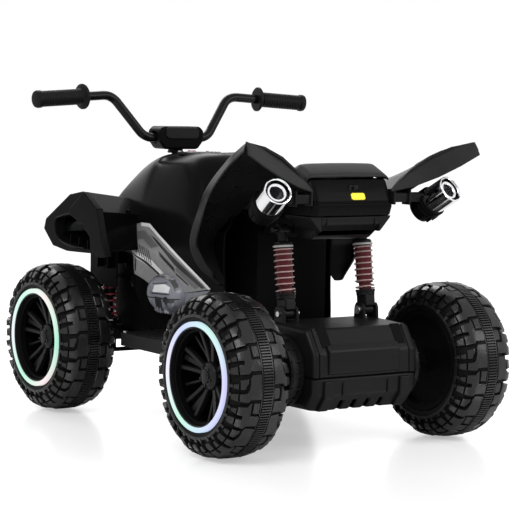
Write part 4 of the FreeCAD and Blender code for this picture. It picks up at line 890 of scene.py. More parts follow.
# Tints around the glowing rings of the front and the rear wheels.
TINTS = {
    "front": [(0.42, 0.90, 0.68), (0.96, 0.88, 0.86), (0.55, 0.95, 0.78), (0.90, 0.92, 0.98),
              (0.45, 0.93, 0.70), (0.98, 0.80, 0.82)],
    "rear": [(0.66, 0.64, 1.00), (0.60, 0.93, 0.86), (0.58, 0.66, 1.00), (0.90, 0.84, 0.99),
             (0.55, 0.94, 0.76), (0.62, 0.70, 1.00)],
}
GLOW = 0.92


class QUAD_OT_wheels(bpy.types.Operator):
    """Treaded tyres, spoked rims and glowing rings"""
    bl_idname = "quad.wheels"
    bl_label = "Wheels"

    def execute(self, context):
        sizes = context.scene.quad_sizes
        tyre = tyre_mesh(sizes)
        rim = rim_mesh(sizes)
        half = HALF_TYRE
        glow = [(90.2, half - 9.6), (90.2, half - 2.6), (91.0, half - 1.2), (92.6, half - 0.4),
                (96.8, half - 0.4), (98.4, half - 1.2), (99.2, half - 2.6), (99.2, half - 9.6)]
        for end, x in ENDS:
            for side_name, side in SIDES:
                spot = "%s_%s" % (end, side_name)
                body = "wheel_" + spot
                where = at_wheel(x, side)
                tread = held_as(placed(tyre.copy(), where), "treaded_tyre_" + spot)
                dress(tread, body, ["tyre_" + spot])
                spokes = held_as(placed(rim.copy(), where), "spoked_rim_" + spot)
                dress(spokes, body, ["rim_" + spot], 32)
                ring = placed(shaped(lathe(glow, 128)), where)
                tints = TINTS[end] if side > 0 else TINTS[end][::-1]
                ring.materials.append(glowing("glow_" + spot, tints, (x, side * WHEEL_Y, AXLE_Z), GLOW))
                dress(held_as(ring, "glow_ring_" + spot), body, ["light_ring_" + spot])
        bpy.data.meshes.remove(tyre)
        bpy.data.meshes.remove(rim)
        return {"FINISHED"}


# Body panels.

# Stations of the shell from nose to seat: x, then (y, z) of the top edge, shoulder, side and skirt.
SHELL = [
    (422.0, (28, 404), (60, 393), (84, 366), (84, 332)),
    (372.0, (40, 452), (74, 439), (104, 388), (104, 330)),
    (318.0, (40, 501), (75, 472), (112, 400), (112, 328)),
    (230.0, (48, 525), (90, 502), (126, 402), (136, 262)),
    (196.0, (50, 525), (93, 505), (132, 396), (140, 248)),
    (150.0, (52, 525), (95, 507), (134, 390), (124, 170)),
    (45.0, (56, 525), (98, 503), (134, 384), (122, 168)),
    (-15.0, (96, 432), (110, 421), (131, 376), (122, 168)),
    (-110.0, (98, 428), (112, 410), (128, 370), (120, 176)),
]


def arched(x, half, crown):
    """A section over both sides: the left half's (y, z) points, the crown and the mirror image."""
    left = [(x, y, z) for y, z in half]
    right = [(x, -y, z) for y, z in reversed(half)]
    return left + [(x, 0.0, crown)] + right


def shell_skin():
    sections = []
    for x, top, shoulder, side, skirt in SHELL:
        low = ((skirt[0] + side[0]) / 2 + 1.5, (skirt[1] + side[1]) / 2)
        high = ((side[0] + shoulder[0]) / 2 + 5, (side[1] + shoulder[1]) / 2 + 2)
        sections.append(arched(x, [skirt, low, side, high, shoulder, top], top[1]))
    return skin(sections, wrap=False, capped=False)


def nose_cap():
    """Front face of the shell."""
    x, top, shoulder, side, skirt = SHELL[0]
    half = [skirt, side, shoulder, top]
    outline = [(y, z) for y, z in half] + [(-y, z) for y, z in reversed(half)]
    return prism(outline, "x", x - 5, x + 1)


# Rays at a panel start this far from the middle plane, in metres, which is outside every panel.
OUTSIDE = 0.4


def dropped(outline, surface, side, lift, grid=9.0):
    """A thin patch drawn as (x, z) and laid on a surface from its side."""
    work = bmesh.new()
    work.faces.new([work.verts.new((x, 0, z)) for x, z in outline])
    for axis in (Vector((1, 0, 0)), Vector((0, 0, 1))):
        values = [Vector((x, 0, z)).dot(axis) for x, z in outline]
        cut = math.ceil(min(values) / grid) * grid
        while cut < max(values):
            sliced(work, cut * axis, axis)
            cut += grid
    for vert in work.verts:
        start = Vector((vert.co.x * MM, side * OUTSIDE, vert.co.z * MM))
        hit = surface.ray_cast(start, Vector((0, -side, 0)))[0]
        if hit is None:
            raise RuntimeError("a patch misses its surface at x %.0f z %.0f" % (vert.co.x, vert.co.z))
        vert.co = hit + Vector((0, side * lift * MM, 0))
    bmesh.ops.recalc_face_normals(work, faces=work.faces)
    work.faces.ensure_lookup_table()
    if work.faces[0].normal.y * side < 0:
        bmesh.ops.reverse_faces(work, faces=work.faces)
    mesh = bpy.data.meshes.new("patch")
    work.to_mesh(mesh)
    work.free()
    return mesh


# The side decal's finishes, each with its height above the shell and its outlines as (x, z).
HATCHES = 9
DECAL = [
    ("decal", 0.35, [[(243, 378), (190, 389), (156, 389), (-66, 277), (20, 262), (150, 263), (203, 284)]]),
    ("engine", 0.35, [[(62, 261), (20, 261), (-64, 274), (-30, 256), (24, 240), (62, 244)]]),
    ("decal_pale", 0.7, [
        [(190, 389), (156, 389), (-66, 277), (-58, 275), (157, 382), (190, 382)],
        [(236, 338), (150, 316), (86, 284), (104, 281), (164, 303), (220, 322)],
    ]),
    ("decal_mid", 0.7, [
        [(238, 366), (176, 374), (120, 346), (150, 340), (180, 356), (236, 350)],
        [(40, 318), (-40, 282), (-10, 272), (60, 304)],
    ]),
    ("decal_dark", 0.9, [
        [(231, 330), (168, 312), (112, 288), (118, 286), (170, 306), (222, 326)],
        *[[(226 - 8 * i, 352 - 2 * i), (223 - 8 * i, 352 - 2 * i), (212 - 8 * i, 330 - 3 * i),
           (215 - 8 * i, 330 - 3 * i)] for i in range(HATCHES)],
        [(150, 366), (136, 362), (-46, 277), (-34, 275), (60, 313)],
        [(120, 336), (96, 324), (92, 314), (116, 326)],
        [(104, 328), (80, 316), (76, 306), (100, 318)],
        [(88, 320), (64, 308), (60, 298), (84, 310)],
        [(56, 298), (14, 280), (12, 276), (56, 294)],
    ]),
]


class QUAD_OT_shell(bpy.types.Operator):
    """Smooth tank and hood shell with its side decals"""
    bl_idname = "quad.shell"
    bl_label = "Shell"

    def execute(self, context):
        smooth = facing_up(through_points(shell_skin(), 3))
        surface = surface_of(smooth)
        column_hole = rod("z", 12.0, (480, 560), COLUMN_AT)
        bay_opening = brick((-135, -25), (-65, 65), (405, 450))
        strut_room = brick((286, 334), (-200, 200), (240, 323))
        body = Mould("shell", "frame")
        wall = walled(smooth, context.scene.quad_sizes.wall, True)
        body.add(shaped(wall, cuts=[column_hole, bay_opening, strut_room]))
        body.add(nose_cap(), edge=2.0)
        for name, side in SIDES:
            low, high = reach(side, 62, 70)
            pin_hole = rod("y", 4.05, (low - 5, high + 5), SEAT_PIN)
            body.add(brick((-32, -18), (low, high), (424, 445)), edge=1.5, cuts=[pin_hole])
        body.release("tank_shell", "chassis", ["body_shell"], 50)
        tones = Mould(*[tone for tone, lift, outlines in DECAL])
        for index, (tone, lift, outlines) in enumerate(DECAL):
            for outline in outlines:
                for name, side in SIDES:
                    tones.add(dropped(outline, surface, side, lift), index)
        tones.release("side_decals", "chassis", (), 60)
        return {"FINISHED"}


# Outlines as (x, z): a pod's outer and inner end, its mouth, the blade behind it, and the liner and the
# shield at the strut.
POD_OUT = [(391, 365), (383, 387), (280, 443), (225, 452), (160, 414), (138, 333), (193, 329), (290, 326),
           (351, 333)]
POD_IN = [(438, 353), (428, 375), (346, 427), (292, 431), (236, 399), (218, 333), (260, 329), (340, 327),
          (402, 333)]
MOUTH = [(339, 389), (305, 397), (271, 403), (212, 388), (176, 364), (172, 339), (224, 338), (266, 340),
         (312, 346), (334, 359)]
BLADE = [(260, 415), (204, 452), (147, 421), (125, 358), (110, 329), (140, 325), (172, 339), (176, 364),
         (212, 388), (260, 403)]
LINER = [(395, 335), (330, 330), (286, 329), (286, 303), (232, 264), (190, 250), (172, 250), (172, 154),
         (292, 154), (292, 181), (328, 181), (360, 235), (398, 270)]
SHIELD = [(352, 333), (240, 332), (240, 256), (252, 250), (340, 258), (352, 270)]
POD_Y = (92.0, 251.0)
POD_WALL = 4.0
POD_RIM = 6


def pulled_in(outline, by):
    middle = Vector((sum(x for x, z in outline), sum(z for x, z in outline))) / len(outline)
    pulled = []
    for point in outline:
        away = Vector(point) - middle
        pulled.append(tuple(middle + away * (1 - by / away.length)))
    return pulled


def rounded_off(outline, share=0.22):
    """The outline with each corner cut twice, so that it runs softly."""
    for cut in range(2):
        soft = []
        for i, here in enumerate(outline):
            after = outline[(i + 1) % len(outline)]
            for part in (share, 1 - share):
                soft.append((here[0] + (after[0] - here[0]) * part, here[1] + (after[1] - here[1]) * part))
        outline = soft
    return outline


def at_y(outline, y):
    return [(x, y, z) for x, z in outline]


class QUAD_OT_front_fenders(bpy.types.Operator):
    """Front fender pods with their blades, open sides, liners and lamps"""
    bl_idname = "quad.front_fenders"
    bl_label = "Front fenders"

    def execute(self, context):
        edge = context.scene.quad_sizes.edge / MM
        near, far = POD_Y
        pod = skin([at_y(POD_IN, near), at_y(POD_OUT, far)])
        hollow = skin([at_y(pulled_in(POD_IN, POD_RIM), near - POD_WALL),
                       at_y(pulled_in(POD_OUT, POD_RIM), far - POD_WALL)])
        soft = rounded_off(MOUTH)
        mouth = prism(soft, "y", 240.0, 275.0)
        wide = pulled_in(soft, -5.0)
        lip = skin([at_y(wide, 248.5), at_y(wide, 252.4), at_y(pulled_in(soft, -2.5), 253.4),
                    at_y(soft, 251.8), at_y(pulled_in(soft, 2.0), 232.0)], capped=False, closed=True)
        lamp_hole = rod("x", 24.2, (330, 440), (LAMP_Y, LAMP_Z))
        strut_window = brick((288, 332), (100, 130), (297, 321))
        for name, side in SIDES:
            # The liner, shield, gussets, ribs and bar inside the pod are in the black with painted shade.
            body = Mould("shell", "inner", "metal_black")
            body.on_side(side, pod, edge=edge, cuts=[hollow, mouth, lamp_hole])
            body.on_side(side, lip)
            body.on_side(side, prism(BLADE, "y", 247.0, 262.0), edge=2.0)
            body.on_side(side, prism(LINER, "y", 114.0, 118.0), 1, edge=1.0, cuts=[strut_window])
            body.on_side(side, prism(SHIELD, "y", 158.0, 161.0), 1, edge=1.0)
            for x in (258.0, 300.0):
                gusset = prism([(x, 300), (x, 329), (x + 3, 329), (x + 3, 290)], "y", 160.0, 172.0)
                body.on_side(side, gusset, 1, edge=0.8, rounds=2)
            for x in (214.0, 250.0, 286.0, 322.0):
                rib = brick((x, x + 3), (150.0, 244.0), (338, 352 + 0.1 * (x - 200)))
                body.on_side(side, rib, 1, edge=0.8, rounds=2)
            body.on_side(side, brick((206, 352), (150.0, 153.0), (340, 414)), 1, edge=1.0)
            for x, z, r in ((252.0, 376.0, 12.0), (304.0, 372.0, 14.0)):
                cup = [(r, 153.0), (r, 170.0), (r - 3, 173.0), (r - 4, 168.0), (0.0, 168.0), (0.0, 153.0)]
                body.on_side(side, lathe(cup, 28, "y", (x, z)), 2)
            body.release("fender_pod_" + name, "chassis", ["front_fender_" + name], 36)
        lamps = Mould("lens", "frame")
        lens = [(0.0, 422.0), (10.0, 421.0), (18.0, 417.5), (22.6, 412.0), (23.8, 404.0), (23.8, 371.0),
                (0.0, 371.0)]
        bezel = [(24.0, 404.0), (26.6, 405.0), (27.0, 411.0), (24.6, 413.0), (23.0, 410.0)]
        for name, side in SIDES:
            for tone, profile in enumerate((lens, bezel)):
                lamps.add(lathe(profile, 40, "x", (side * LAMP_Y, LAMP_Z)), tone)
        lamps.release("head_lamps", "chassis", ["headlights"], 34)
        return {"FINISHED"}


# Stations of a rear wing: the outer tip, the root at the body, and how far the skin between them arches.
WING = [
    ((-119, 147, 289), (-116, 130, 289), 0), ((-105, 183, 327), (-88, 119, 324), 1),
    ((-94, 196, 371), (-70, 120, 366), 2), ((-138, 208, 433), (-100, 98, 420), 3),
    ((-208, 230, 485), (-165, 96, 459), 4), ((-302, 248, 538), (-262, 95, 475), 6),
    ((-346, 254, 558), (-310, 93, 481), 11), ((-380, 259, 572), (-345, 90, 483), 18),
]
WING_SECTIONS = 44
# The leaf that closes a wing's rear end, as (y, z), and the slopes of its plane.
LEAF = [(90, 483), (106, 499), (125, 514), (147, 530), (172, 544), (194, 554), (215, 561), (238, 567),
        (259, 572), (262, 548), (222, 526), (180, 506), (130, 487), (90, 478)]
LEAF_CORNER = (-345, 90, 483)
LEAF_SLOPES = (-0.4713, 0.4964)


def wing_section(tip, root, across, up, rise):
    """The skin from the root out to the tip, the flange that hangs there and the way back below."""
    deep = 19.0 if (tip - root).length > 40 else 8.0

    def on_top(share, lift):
        return root + (tip - root) * share + up * (4 * share * (1 - share) * rise + lift)

    return [
        root, on_top(0.25, 0.6), on_top(0.5, 1.0), on_top(0.75, 0.6), tip - across * 4 + up * 0.6,
        tip - across * 1.2 - up * 0.6, tip - up * 4, tip - up * (deep - 2), tip - up * deep - across * 2,
        tip - up * deep - across * 4.5, tip - up * (deep - 3) - across * 5.5, tip - up * 6 - across * 6,
        on_top(0.75, -4.0), on_top(0.5, -4.0), on_top(0.25, -4.0), root - up * 4,
    ]


def wing_skin():
    count = WING_SECTIONS
    tips = flowing([tip for tip, root, arch in WING], count)
    roots = flowing([root for tip, root, arch in WING], count)
    arches = flowing([(0, 0, arch) for tip, root, arch in WING], count)
    sections = []
    for i in range(count):
        before = max(i - 1, 0)
        after = min(i + 1, count - 1)
        run = tips[after] + roots[after] - tips[before] - roots[before]
        across = (tips[i] - roots[i]).normalized()
        up = across.cross(run).normalized()
        sections.append(wing_section(tips[i], roots[i], across, up, max(arches[i].z, 0.0)))
    return skin(sections)


def wing_leaf():
    x0, y0, z0 = LEAF_CORNER
    slope_y, slope_z = LEAF_SLOPES
    face = [(x0 + (y - y0) * slope_y + (z - z0) * slope_z, y, z) for y, z in LEAF]
    middle = sum((Vector(point) for point in face), Vector()) / len(face)
    inner = [tuple(middle + (Vector(point) - middle) * 0.92 - Vector((2.2, 0, 0))) for point in face]
    return skin([[(x + 4, y, z) for x, y, z in face], face, inner])


class QUAD_OT_rear_fenders(bpy.types.Operator):
    """Swept rear wings with a folded flange and a grained leaf at the rear"""
    bl_idname = "quad.rear_fenders"
    bl_label = "Rear fenders"

    def execute(self, context):
        wing = wing_skin()
        leaf = wing_leaf()
        for name, side in SIDES:
            body = Mould("wing", "leaf")
            body.on_side(side, wing)
            body.on_side(side, leaf, 1, edge=0.8, rounds=2)
            body.release("swept_fender_" + name, "chassis", ["rear_fender_" + name], 40)
        return {"FINISHED"}


# Seat and tail.

# Stations of the seat from front to back: x, then y and z of the top's edge and of the lower edge.
SEAT = [
    (-38.0, 62, 448, 80, 434), (-105.0, 82, 452, 94, 434), (-180.0, 84, 466, 94, 434),
    (-215.0, 83, 486, 94, 434), (-250.0, 82, 508, 94, 468), (-285.0, 81, 525, 91.6, 500.6),
    (-300.0, 80, 526, 91.6, 500.6), (-328.0, 80, 512, 91.4, 500.6),
]
SEAT_FLOOR = 434
SEAT_BACK_FLOOR = 500.6
SEAT_KNUCKLE = [(-41, 434), (-41, 443), (-27, 443.5), (-22, 442.6), (-19.5, 439), (-20, 435.4), (-24, 432.7),
                (-30, 434)]


def seat_skin():
    sections = []
    for x, top_y, top_z, low_y, low_z in SEAT:
        tall = top_z - low_z
        half = [(low_y, low_z), (low_y + 0.6, low_z + tall * 0.30), (low_y - 1.0, low_z + tall * 0.62),
                (top_y + (low_y - top_y) * 0.45, top_z - tall * 0.12), (top_y - 4, top_z + 0.4),
                (top_y * 0.55, top_z + 1.4)]
        sections.append(arched(x, half, top_z + 1.8))
    front = [(-19.5, y * 0.97, SEAT_FLOOR + (z - SEAT_FLOOR) * 0.4) for x, y, z in sections[0]]
    back = [(-331.0, y * 0.985, SEAT_BACK_FLOOR + (z - SEAT_BACK_FLOOR) * 0.35) for x, y, z in sections[-1]]
    return skin([front] + sections + [back], wrap=False, capped=False)


class QUAD_OT_seat(bpy.types.Operator):
    """Rounded hard seat moulding, hollow below"""
    bl_idname = "quad.seat"
    bl_label = "Seat"

    def execute(self, context):
        pad = facing_up(through_points(seat_skin(), 3, rounds=3))
        body = Mould("seat", "frame")
        body.add(walled(pad, context.scene.quad_sizes.wall, False))
        for name, side in SIDES:
            low, high = reach(side, 48, 60)
            pin_hole = rod("y", 4.06, (low - 5, high + 5), SEAT_PIN)
            body.add(prism(SEAT_KNUCKLE, "y", low, high), 1, edge=0.6, rounds=2, cuts=[pin_hole])
        body.release("seat_moulding", "seat", ["seat"], 50)
        return {"FINISHED"}


def rounded_loop(x_front, x_back, half, z, corner, steps=5):
    """A level loop with round corners at the back and small ones in front."""
    small = 3.0
    corners = (
        (x_back + corner, half - corner, 90, corner), (x_back + corner, -half + corner, 180, corner),
        (x_front - small, -half + small, 270, small), (x_front - small, half - small, 0, small),
    )
    loop = []
    for x, y, start, r in corners:
        for k in range(steps + 1):
            angle = math.radians(start + 90 * k / steps)
            loop.append((x + r * math.cos(angle), y + r * math.sin(angle), z))
    return loop


# Levels of the tail cover from below: z, the front and the back end, and half its width.
TAIL = [
    (434.3, -224.0, -346.5, 90.5), (435.5, -224.0, -349.0, 92.0), (451.0, -233.0, -354.0, 92.6),
    (456.5, -239.0, -353.0, 92.6), (458.4, -241.0, -349.6, 90.2), (460.4, -243.0, -349.2, 89.8),
    (462.4, -245.0, -350.0, 91.2), (478.0, -261.0, -343.8, 91.6), (497.0, -281.0, -334.2, 91.6),
    (500.2, -284.4, -331.6, 91.0), (501.4, -286.0, -328.0, 88.0),
]
TAIL_CORNER = 15.0
# The plain plate as (y, distance up the sloping back), and the box below the tail as (x, z).
PLATE = [(-27, 1), (4, 1), (4, 14.5), (-27, 14.5)]
TOWER = [(-344.6, 433.4), (-343.0, 419.0), (-328.0, 403.0), (-311.0, 391.0), (-306.0, 389.4), (-156.4, 389.4),
         (-156.4, 427.6), (-221.4, 427.6), (-221.4, 433.4)]
SHOCK_LOW = Vector((-274.0, 0.0, 250.0))
SHOCK_TOP = Vector((-253.0, 0.0, 405.0))
SHOCK_Y = 92.0


class QUAD_OT_tail(bpy.types.Operator):
    """Tail housing with its lip, latch and plain plate, and the box below it"""
    bl_idname = "quad.tail"
    bl_label = "Tail"

    def execute(self, context):
        loops = [rounded_loop(front, back, half, z, TAIL_CORNER) for z, front, back, half in TAIL]
        body = Mould("shell", "frame", "plate", "metal_black")
        latch_recess = brick((-360, -334), (-17, 5), (480, 491))
        body.add(skin(loops), cuts=[latch_recess])
        body.add(brick((-341, -334.5), (-16.6, 4.6), (480.4, 490.6)), 1, edge=0.6, rounds=2)
        body.add(brick((-345.5, -338), (-10, -3), (482.5, 488.5)), 3, edge=1.0)
        sheet = rounded_off(PLATE, 0.12)
        faces = []
        for out in (-0.6, 1.2):
            faces.append([(-350.2 + 0.41 * s - out, y, 463.0 + 0.91 * s + 0.4 * out) for y, s in sheet])
        body.add(skin(faces), 2, edge=0.4, rounds=1)
        body.release("tail_cover", "chassis", ["tail_housing"], 36)
        tower = Mould("frame")
        bay = brick((-330, -164), (-61, 61), (397, 450))
        shock_pin = rod("y", 5.05, (-80, 80), (SHOCK_TOP.x, SHOCK_TOP.z))
        tower.add(prism(TOWER, "y", -67.6, 67.6), edge=3.0, cuts=[bay, shock_pin])
        gusset = [(66, 433.6), (92, 433.6), (90, 429.0), (70, 407.0), (66, 404.0)]
        for name, side in SIDES:
            tower.add(prism([(side * y, z) for y, z in gusset], "x", -343, -262), edge=1.5)
        fin = shaped(brick((-345.4, -339), (-56, -53), (416, 431)), edge=0.8, rounds=2)
        tower.add(in_row(fin, 2, (0, 109, 0), "frame"))
        tower.release("tower_box", "chassis", ["shock_tower"], 34)
        return {"FINISHED"}


# Rear axle group.

# Outlines of the axle housing's halves as (x, z), the seams they stand on and their middle in x.
COVER = [(-402.0, 145.3), (-400.0, 190.0), (-372.0, 232.0), (-252.0, 236.0), (-224.0, 205.0), (-224.0, 145.3)]
COVER_ROOM = [(-396, 140), (-395, 188), (-369, 226), (-256, 230), (-230, 203), (-230, 140)]
COVER_SEAM = 145.3
SKID = [(-402.0, 144.7), (-401.0, 112.0), (-378.0, 82.0), (-246.0, 80.0), (-224.0, 104.0), (-224.0, 144.7)]
SKID_ROOM = [(-396, 150), (-395, 114), (-375, 88), (-250, 86), (-230, 106), (-230, 150)]
SKID_SEAM = 144.7
HOUSING_X = -313
VENTS_Y = (84.0, -84.0)
DRUM = [(58.0, 118.4), (64.6, 118.6), (66.0, 120.4), (66.0, 128.0), (63.6, 129.4), (63.6, 133.6),
        (65.6, 135.0), (65.6, 143.0), (63.0, 146.8), (56.0, 149.0), (30.0, 151.6), (20.0, 152.0),
        (20.0, 148.6), (56.0, 145.0), (58.0, 140.0)]
DRUM_RIBS = 16


def housing_ways():
    """The axle's way and the two ways of the swing arm's legs."""
    legs = [brick((-240, -215), span, (134, 166)) for span in ((35, 53), (-53, -35))]
    return [rod("y", 8.0, (-140, 140), (REAR_X, AXLE_Z)), *legs]


def axle_case():
    body = Mould("frame", "inner")
    vents = []
    for y in VENTS_Y:
        outline = [(-410, 206), (-395, 206), (-372, 238), (-372, 250), (-410, 250)]
        vents.append(prism(outline, "y", y - 11, y + 11))
    hollow = prism(COVER_ROOM, "y", -113, 113)
    sections = []
    for y, grow in ((-118.0, 0.955), (-112.0, 1.0), (112.0, 1.0), (118.0, 0.955)):
        sections.append([(HOUSING_X + (x - HOUSING_X) * grow, y, COVER_SEAM + (z - COVER_SEAM) * grow)
                         for x, z in COVER])
    body.add(skin(sections), edge=5.0, rounds=4, cuts=[hollow] + housing_ways() + vents)
    for y in VENTS_Y:
        slat = prism([(-394.4, 200), (-390, 200), (-368, 230), (-371.6, 234.4)], "y", y - 10.6, y + 10.6)
        # The slats inside the vents are in the black with painted shade.
        body.add(slat, 1, edge=0.6, rounds=2)
    panel = [(-405.4, 152), (-405.4, 194), (-396, 206), (-392, 200), (-396, 150)]
    body.add(prism(panel, "y", -74, 86), edge=3.0)
    rib = [(-404.4, 147), (-403, 190), (-374, 235), (-368, 230), (-394, 188), (-396, 146)]
    for y in (-106.0, 98.0):
        body.add(prism(rib, "y", y, y + 8), edge=2.0)
    ear = [(-290, 232), (-288.6, 256), (-283, 263.4), (-265, 263.4), (-259.4, 256), (-258, 232)]
    for name, side in SIDES:
        for near in (SHOCK_Y - 18.0, SHOCK_Y + 12.0):
            low, high = reach(side, near, near + 6)
            pin_hole = rod("y", 5.0, (low - 3, high + 3), (SHOCK_LOW.x, SHOCK_LOW.z))
            body.add(prism(ear, "y", low, high), edge=1.2, rounds=2, cuts=[pin_hole])
    body.release("axle_case", "rear_swing", ["axle_cover"], 34)


def skid_pan():
    skid = Mould("frame")
    sections = []
    for y, grow in ((-118.0, 0.86), (-108.0, 0.97), (-90.0, 1.0), (90.0, 1.0), (108.0, 0.97), (118.0, 0.86)):
        sections.append([(HOUSING_X + (x - HOUSING_X) * (0.5 + grow / 2), y,
                          SKID_SEAM + (z - SKID_SEAM) * grow) for x, z in SKID])
    hollow = prism(SKID_ROOM, "y", -112, 112)
    notches = [brick((-420, -362), (y, y + 8), (70, 101)) for y in (-48.0, -18.0, 12.0, 42.0)]
    skid.add(skin(sections), edge=4.0, rounds=3, cuts=[hollow] + housing_ways() + notches)
    foot = [(-407.0, 140), (-406.4, 108), (-386, 82.4), (-366, 82.4), (-394, 116), (-394, 140)]
    for y in (-98.0, 74.0):
        skid.add(prism(foot, "y", y, y + 22), edge=2.5)
    rib = [(-404.6, 136), (-404.2, 114), (-396, 106), (-392, 132)]
    for y in (-58.0, 44.0):
        skid.add(prism(rib, "y", y, y + 10), edge=1.5, rounds=2)
    skid.release("skid_pan", "rear_swing", ["skid_plate"], 34)


def gearbox_drums():
    drums = Mould("frame")
    for name, side in SIDES:
        drums.add(lathe([(r, side * y) for r, y in DRUM], 72, "y", (REAR_X, AXLE_Z)))
        rib = shaped(brick((-2.0, 2.0), (119.5, 145.5), (63.0, 66.8)), edge=0.7, rounds=2)
        ring = turned(rib, DRUM_RIBS, "frame")
        drums.add(placed(ring, Matrix.Translation(Vector((REAR_X, 0, AXLE_Z)) * MM) @ mirror_to(side)))
    drums.release("gearbox_drums", "rear_swing", ["gearbox_cases"], 34)


class QUAD_OT_axle_housing(bpy.types.Operator):
    """Axle housing halves with panel, vents, ribs, clevises and end drums"""
    bl_idname = "quad.axle_housing"
    bl_label = "Axle housing"

    def execute(self, context):
        axle_case()
        skid_pan()
        gearbox_drums()
        return {"FINISHED"}


def shock_frame(side):
    """Places a shock drawn upright from its lower pin."""
    return pointing(SHOCK_LOW + Vector((0, side * SHOCK_Y, 0)), (SHOCK_TOP - SHOCK_LOW).normalized())


def coil(radius, wire, low, high, turns, steps=26, sides=12):
    """A compression spring with closed ends, standing on the Z axis; most of a turn runs nearly level."""
    ends = 0.75
    level = 0.8
    facing = 2.55
    rise = (high - low - wire) / (turns - ends)
    path = []
    for i in range(int(turns * steps) + 1):
        turn = i / steps
        if turn < ends:
            z = 0.5 * rise * turn * turn / ends
        elif turn > turns - ends:
            left = turns - turn
            z = (turns - ends) * rise - 0.5 * rise * left * left / ends
        else:
            z = rise * (turn - ends / 2)
            z -= level * rise * math.sin(2 * math.pi * (turn - ends)) / (2 * math.pi)
        angle = 2 * math.pi * (turn - ends) + facing
        path.append((radius * math.cos(angle), radius * math.sin(angle), low + wire / 2 + z))
    return pipe(path, wire / 2, sides)


# Profiles of a rear shock as (radius, height above the lower pin).
SHOCK_FOOT = [(14.0, 26.0), (17.6, 28.0), (17.6, 33.4), (18.8, 34.4), (18.8, 37.6), (17.6, 38.3),
              (11.8, 38.4), (9.5, 38.4), (9.5, 26.0)]
SHOCK_TUBE = [(11.8, 38.4), (11.8, 81.4), (9.5, 82.0), (9.5, 38.4)]
SHOCK_PLUNGER = [(0.0, 50.0), (8.6, 50.0), (9.0, 51.0), (9.0, 121.6), (0.0, 121.6)]
SHOCK_SLEEVE = [(12.3, 50.5), (15.2, 50.5), (15.6, 51.5), (15.6, 121.6), (12.3, 121.6)]
SHOCK_HEAD = [(0.0, 121.6), (14.0, 121.8), (17.4, 122.2), (17.4, 126.0), (16.8, 128.0), (16.8, 131.0),
              (14.0, 133.4), (9.0, 134.0), (9.0, 151.0), (0.0, 151.0)]
SHOCK_COLLAR = [(16.0, 123.0), (18.7, 123.2), (19.0, 124.0), (19.0, 126.0), (18.7, 126.8), (16.0, 127.0)]


class QUAD_OT_rear_shocks(bpy.types.Operator):
    """Rear shocks: tubes, rods, caps and painted springs"""
    bl_idname = "quad.rear_shocks"
    bl_label = "Rear shocks"

    def execute(self, context):
        turns = context.scene.quad_sizes.rear_coils
        tubes = Mould("frame", "core")
        rods = Mould("frame", "cap", "core")
        springs = Mould("spring_rear")
        for name, side in SIDES:
            here = shock_frame(side)
            pin_hole = rod("y", 5.05, (-20, 20), (0.0, 0.0))
            eye = shaped(prism(circle(10.0, 32), "y", -10.8, 10.8), edge=1.0, cuts=[pin_hole])
            tubes.add(placed(eye.copy(), here))
            eye_room = rod("y", 9.0, (-20, 20), (0.0, 0.0))
            block = shaped(brick((-15.5, 15.5), (-11.2, 11.2), (6.0, 30.0)), edge=3.0, cuts=[eye_room])
            tubes.add(placed(block, here))
            tubes.spun(SHOCK_FOOT, 48, here)
            tubes.spun(SHOCK_TUBE, 48, here, 1)
            rods.spun(SHOCK_PLUNGER, 40, here, 2)
            rods.spun(SHOCK_SLEEVE, 48, here, 2)
            rods.spun(SHOCK_HEAD, 48, here)
            rods.spun(SHOCK_COLLAR, 48, here, 1)
            rods.add(placed(eye, here @ Matrix.Translation((0, 0, (SHOCK_TOP - SHOCK_LOW).length * MM))))
            springs.add(placed(shaped(coil(17.3, 3.0, 38.6, 121.4, turns)), here))
        tubes.release("shock_bodies", "shock_tubes", ["rear_shock_tubes"], 34)
        rods.release("shock_stems", "shock_rods", ["rear_shock_rods"], 34)
        wound = springs.release("rear_coils", "shock_rods", ["rear_springs"], 60)
        settle(wound)
        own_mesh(wound)
        return {"FINISHED"}


# A front strut's tube as (radius, z), the rings on its head and its spring's ends.
STRUT_TUBE = [(8.3, 228.0), (12.6, 228.0), (13.0, 229.0), (13.0, 267.6), (19.0, 268.2), (19.4, 269.4),
              (19.4, 271.6), (18.0, 272.4), (14.0, 273.0), (13.6, 296.4), (0.0, 296.6), (0.0, 291.0),
              (8.3, 291.0)]
STRUT_RINGS = (276.0, 281.0, 286.0)
STRUT_SPRING = (184.6, 267.6)


class QUAD_OT_front_struts(bpy.types.Operator):
    """Front strut tubes and red springs"""
    bl_idname = "quad.front_struts"
    bl_label = "Front struts"

    def execute(self, context):
        turns = context.scene.quad_sizes.front_coils
        low, high = STRUT_SPRING
        tubes = Mould("metal_black")
        springs = Mould("spring_front")
        for name, side in SIDES:
            at = (FRONT_X, side * STRUT_Y)
            tubes.add(lathe(STRUT_TUBE, 44, "z", at))
            for z in STRUT_RINGS:
                tubes.add(lathe([(13.0, z), (14.8, z + 0.6), (14.8, z + 2.0), (13.0, z + 2.6)], 44, "z", at))
            spring = shaped(coil(15.4, 4.2, low, high, turns))
            springs.add(placed(spring, Matrix.Translation(Vector((*at, 0)) * MM)))
        tubes.release("strut_tubes", "chassis", ["front_strut_tubes"], 34)
        wound = springs.release("front_coils", "chassis", ["front_springs"], 60)
        settle(wound)
        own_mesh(wound)
        return {"FINISHED"}


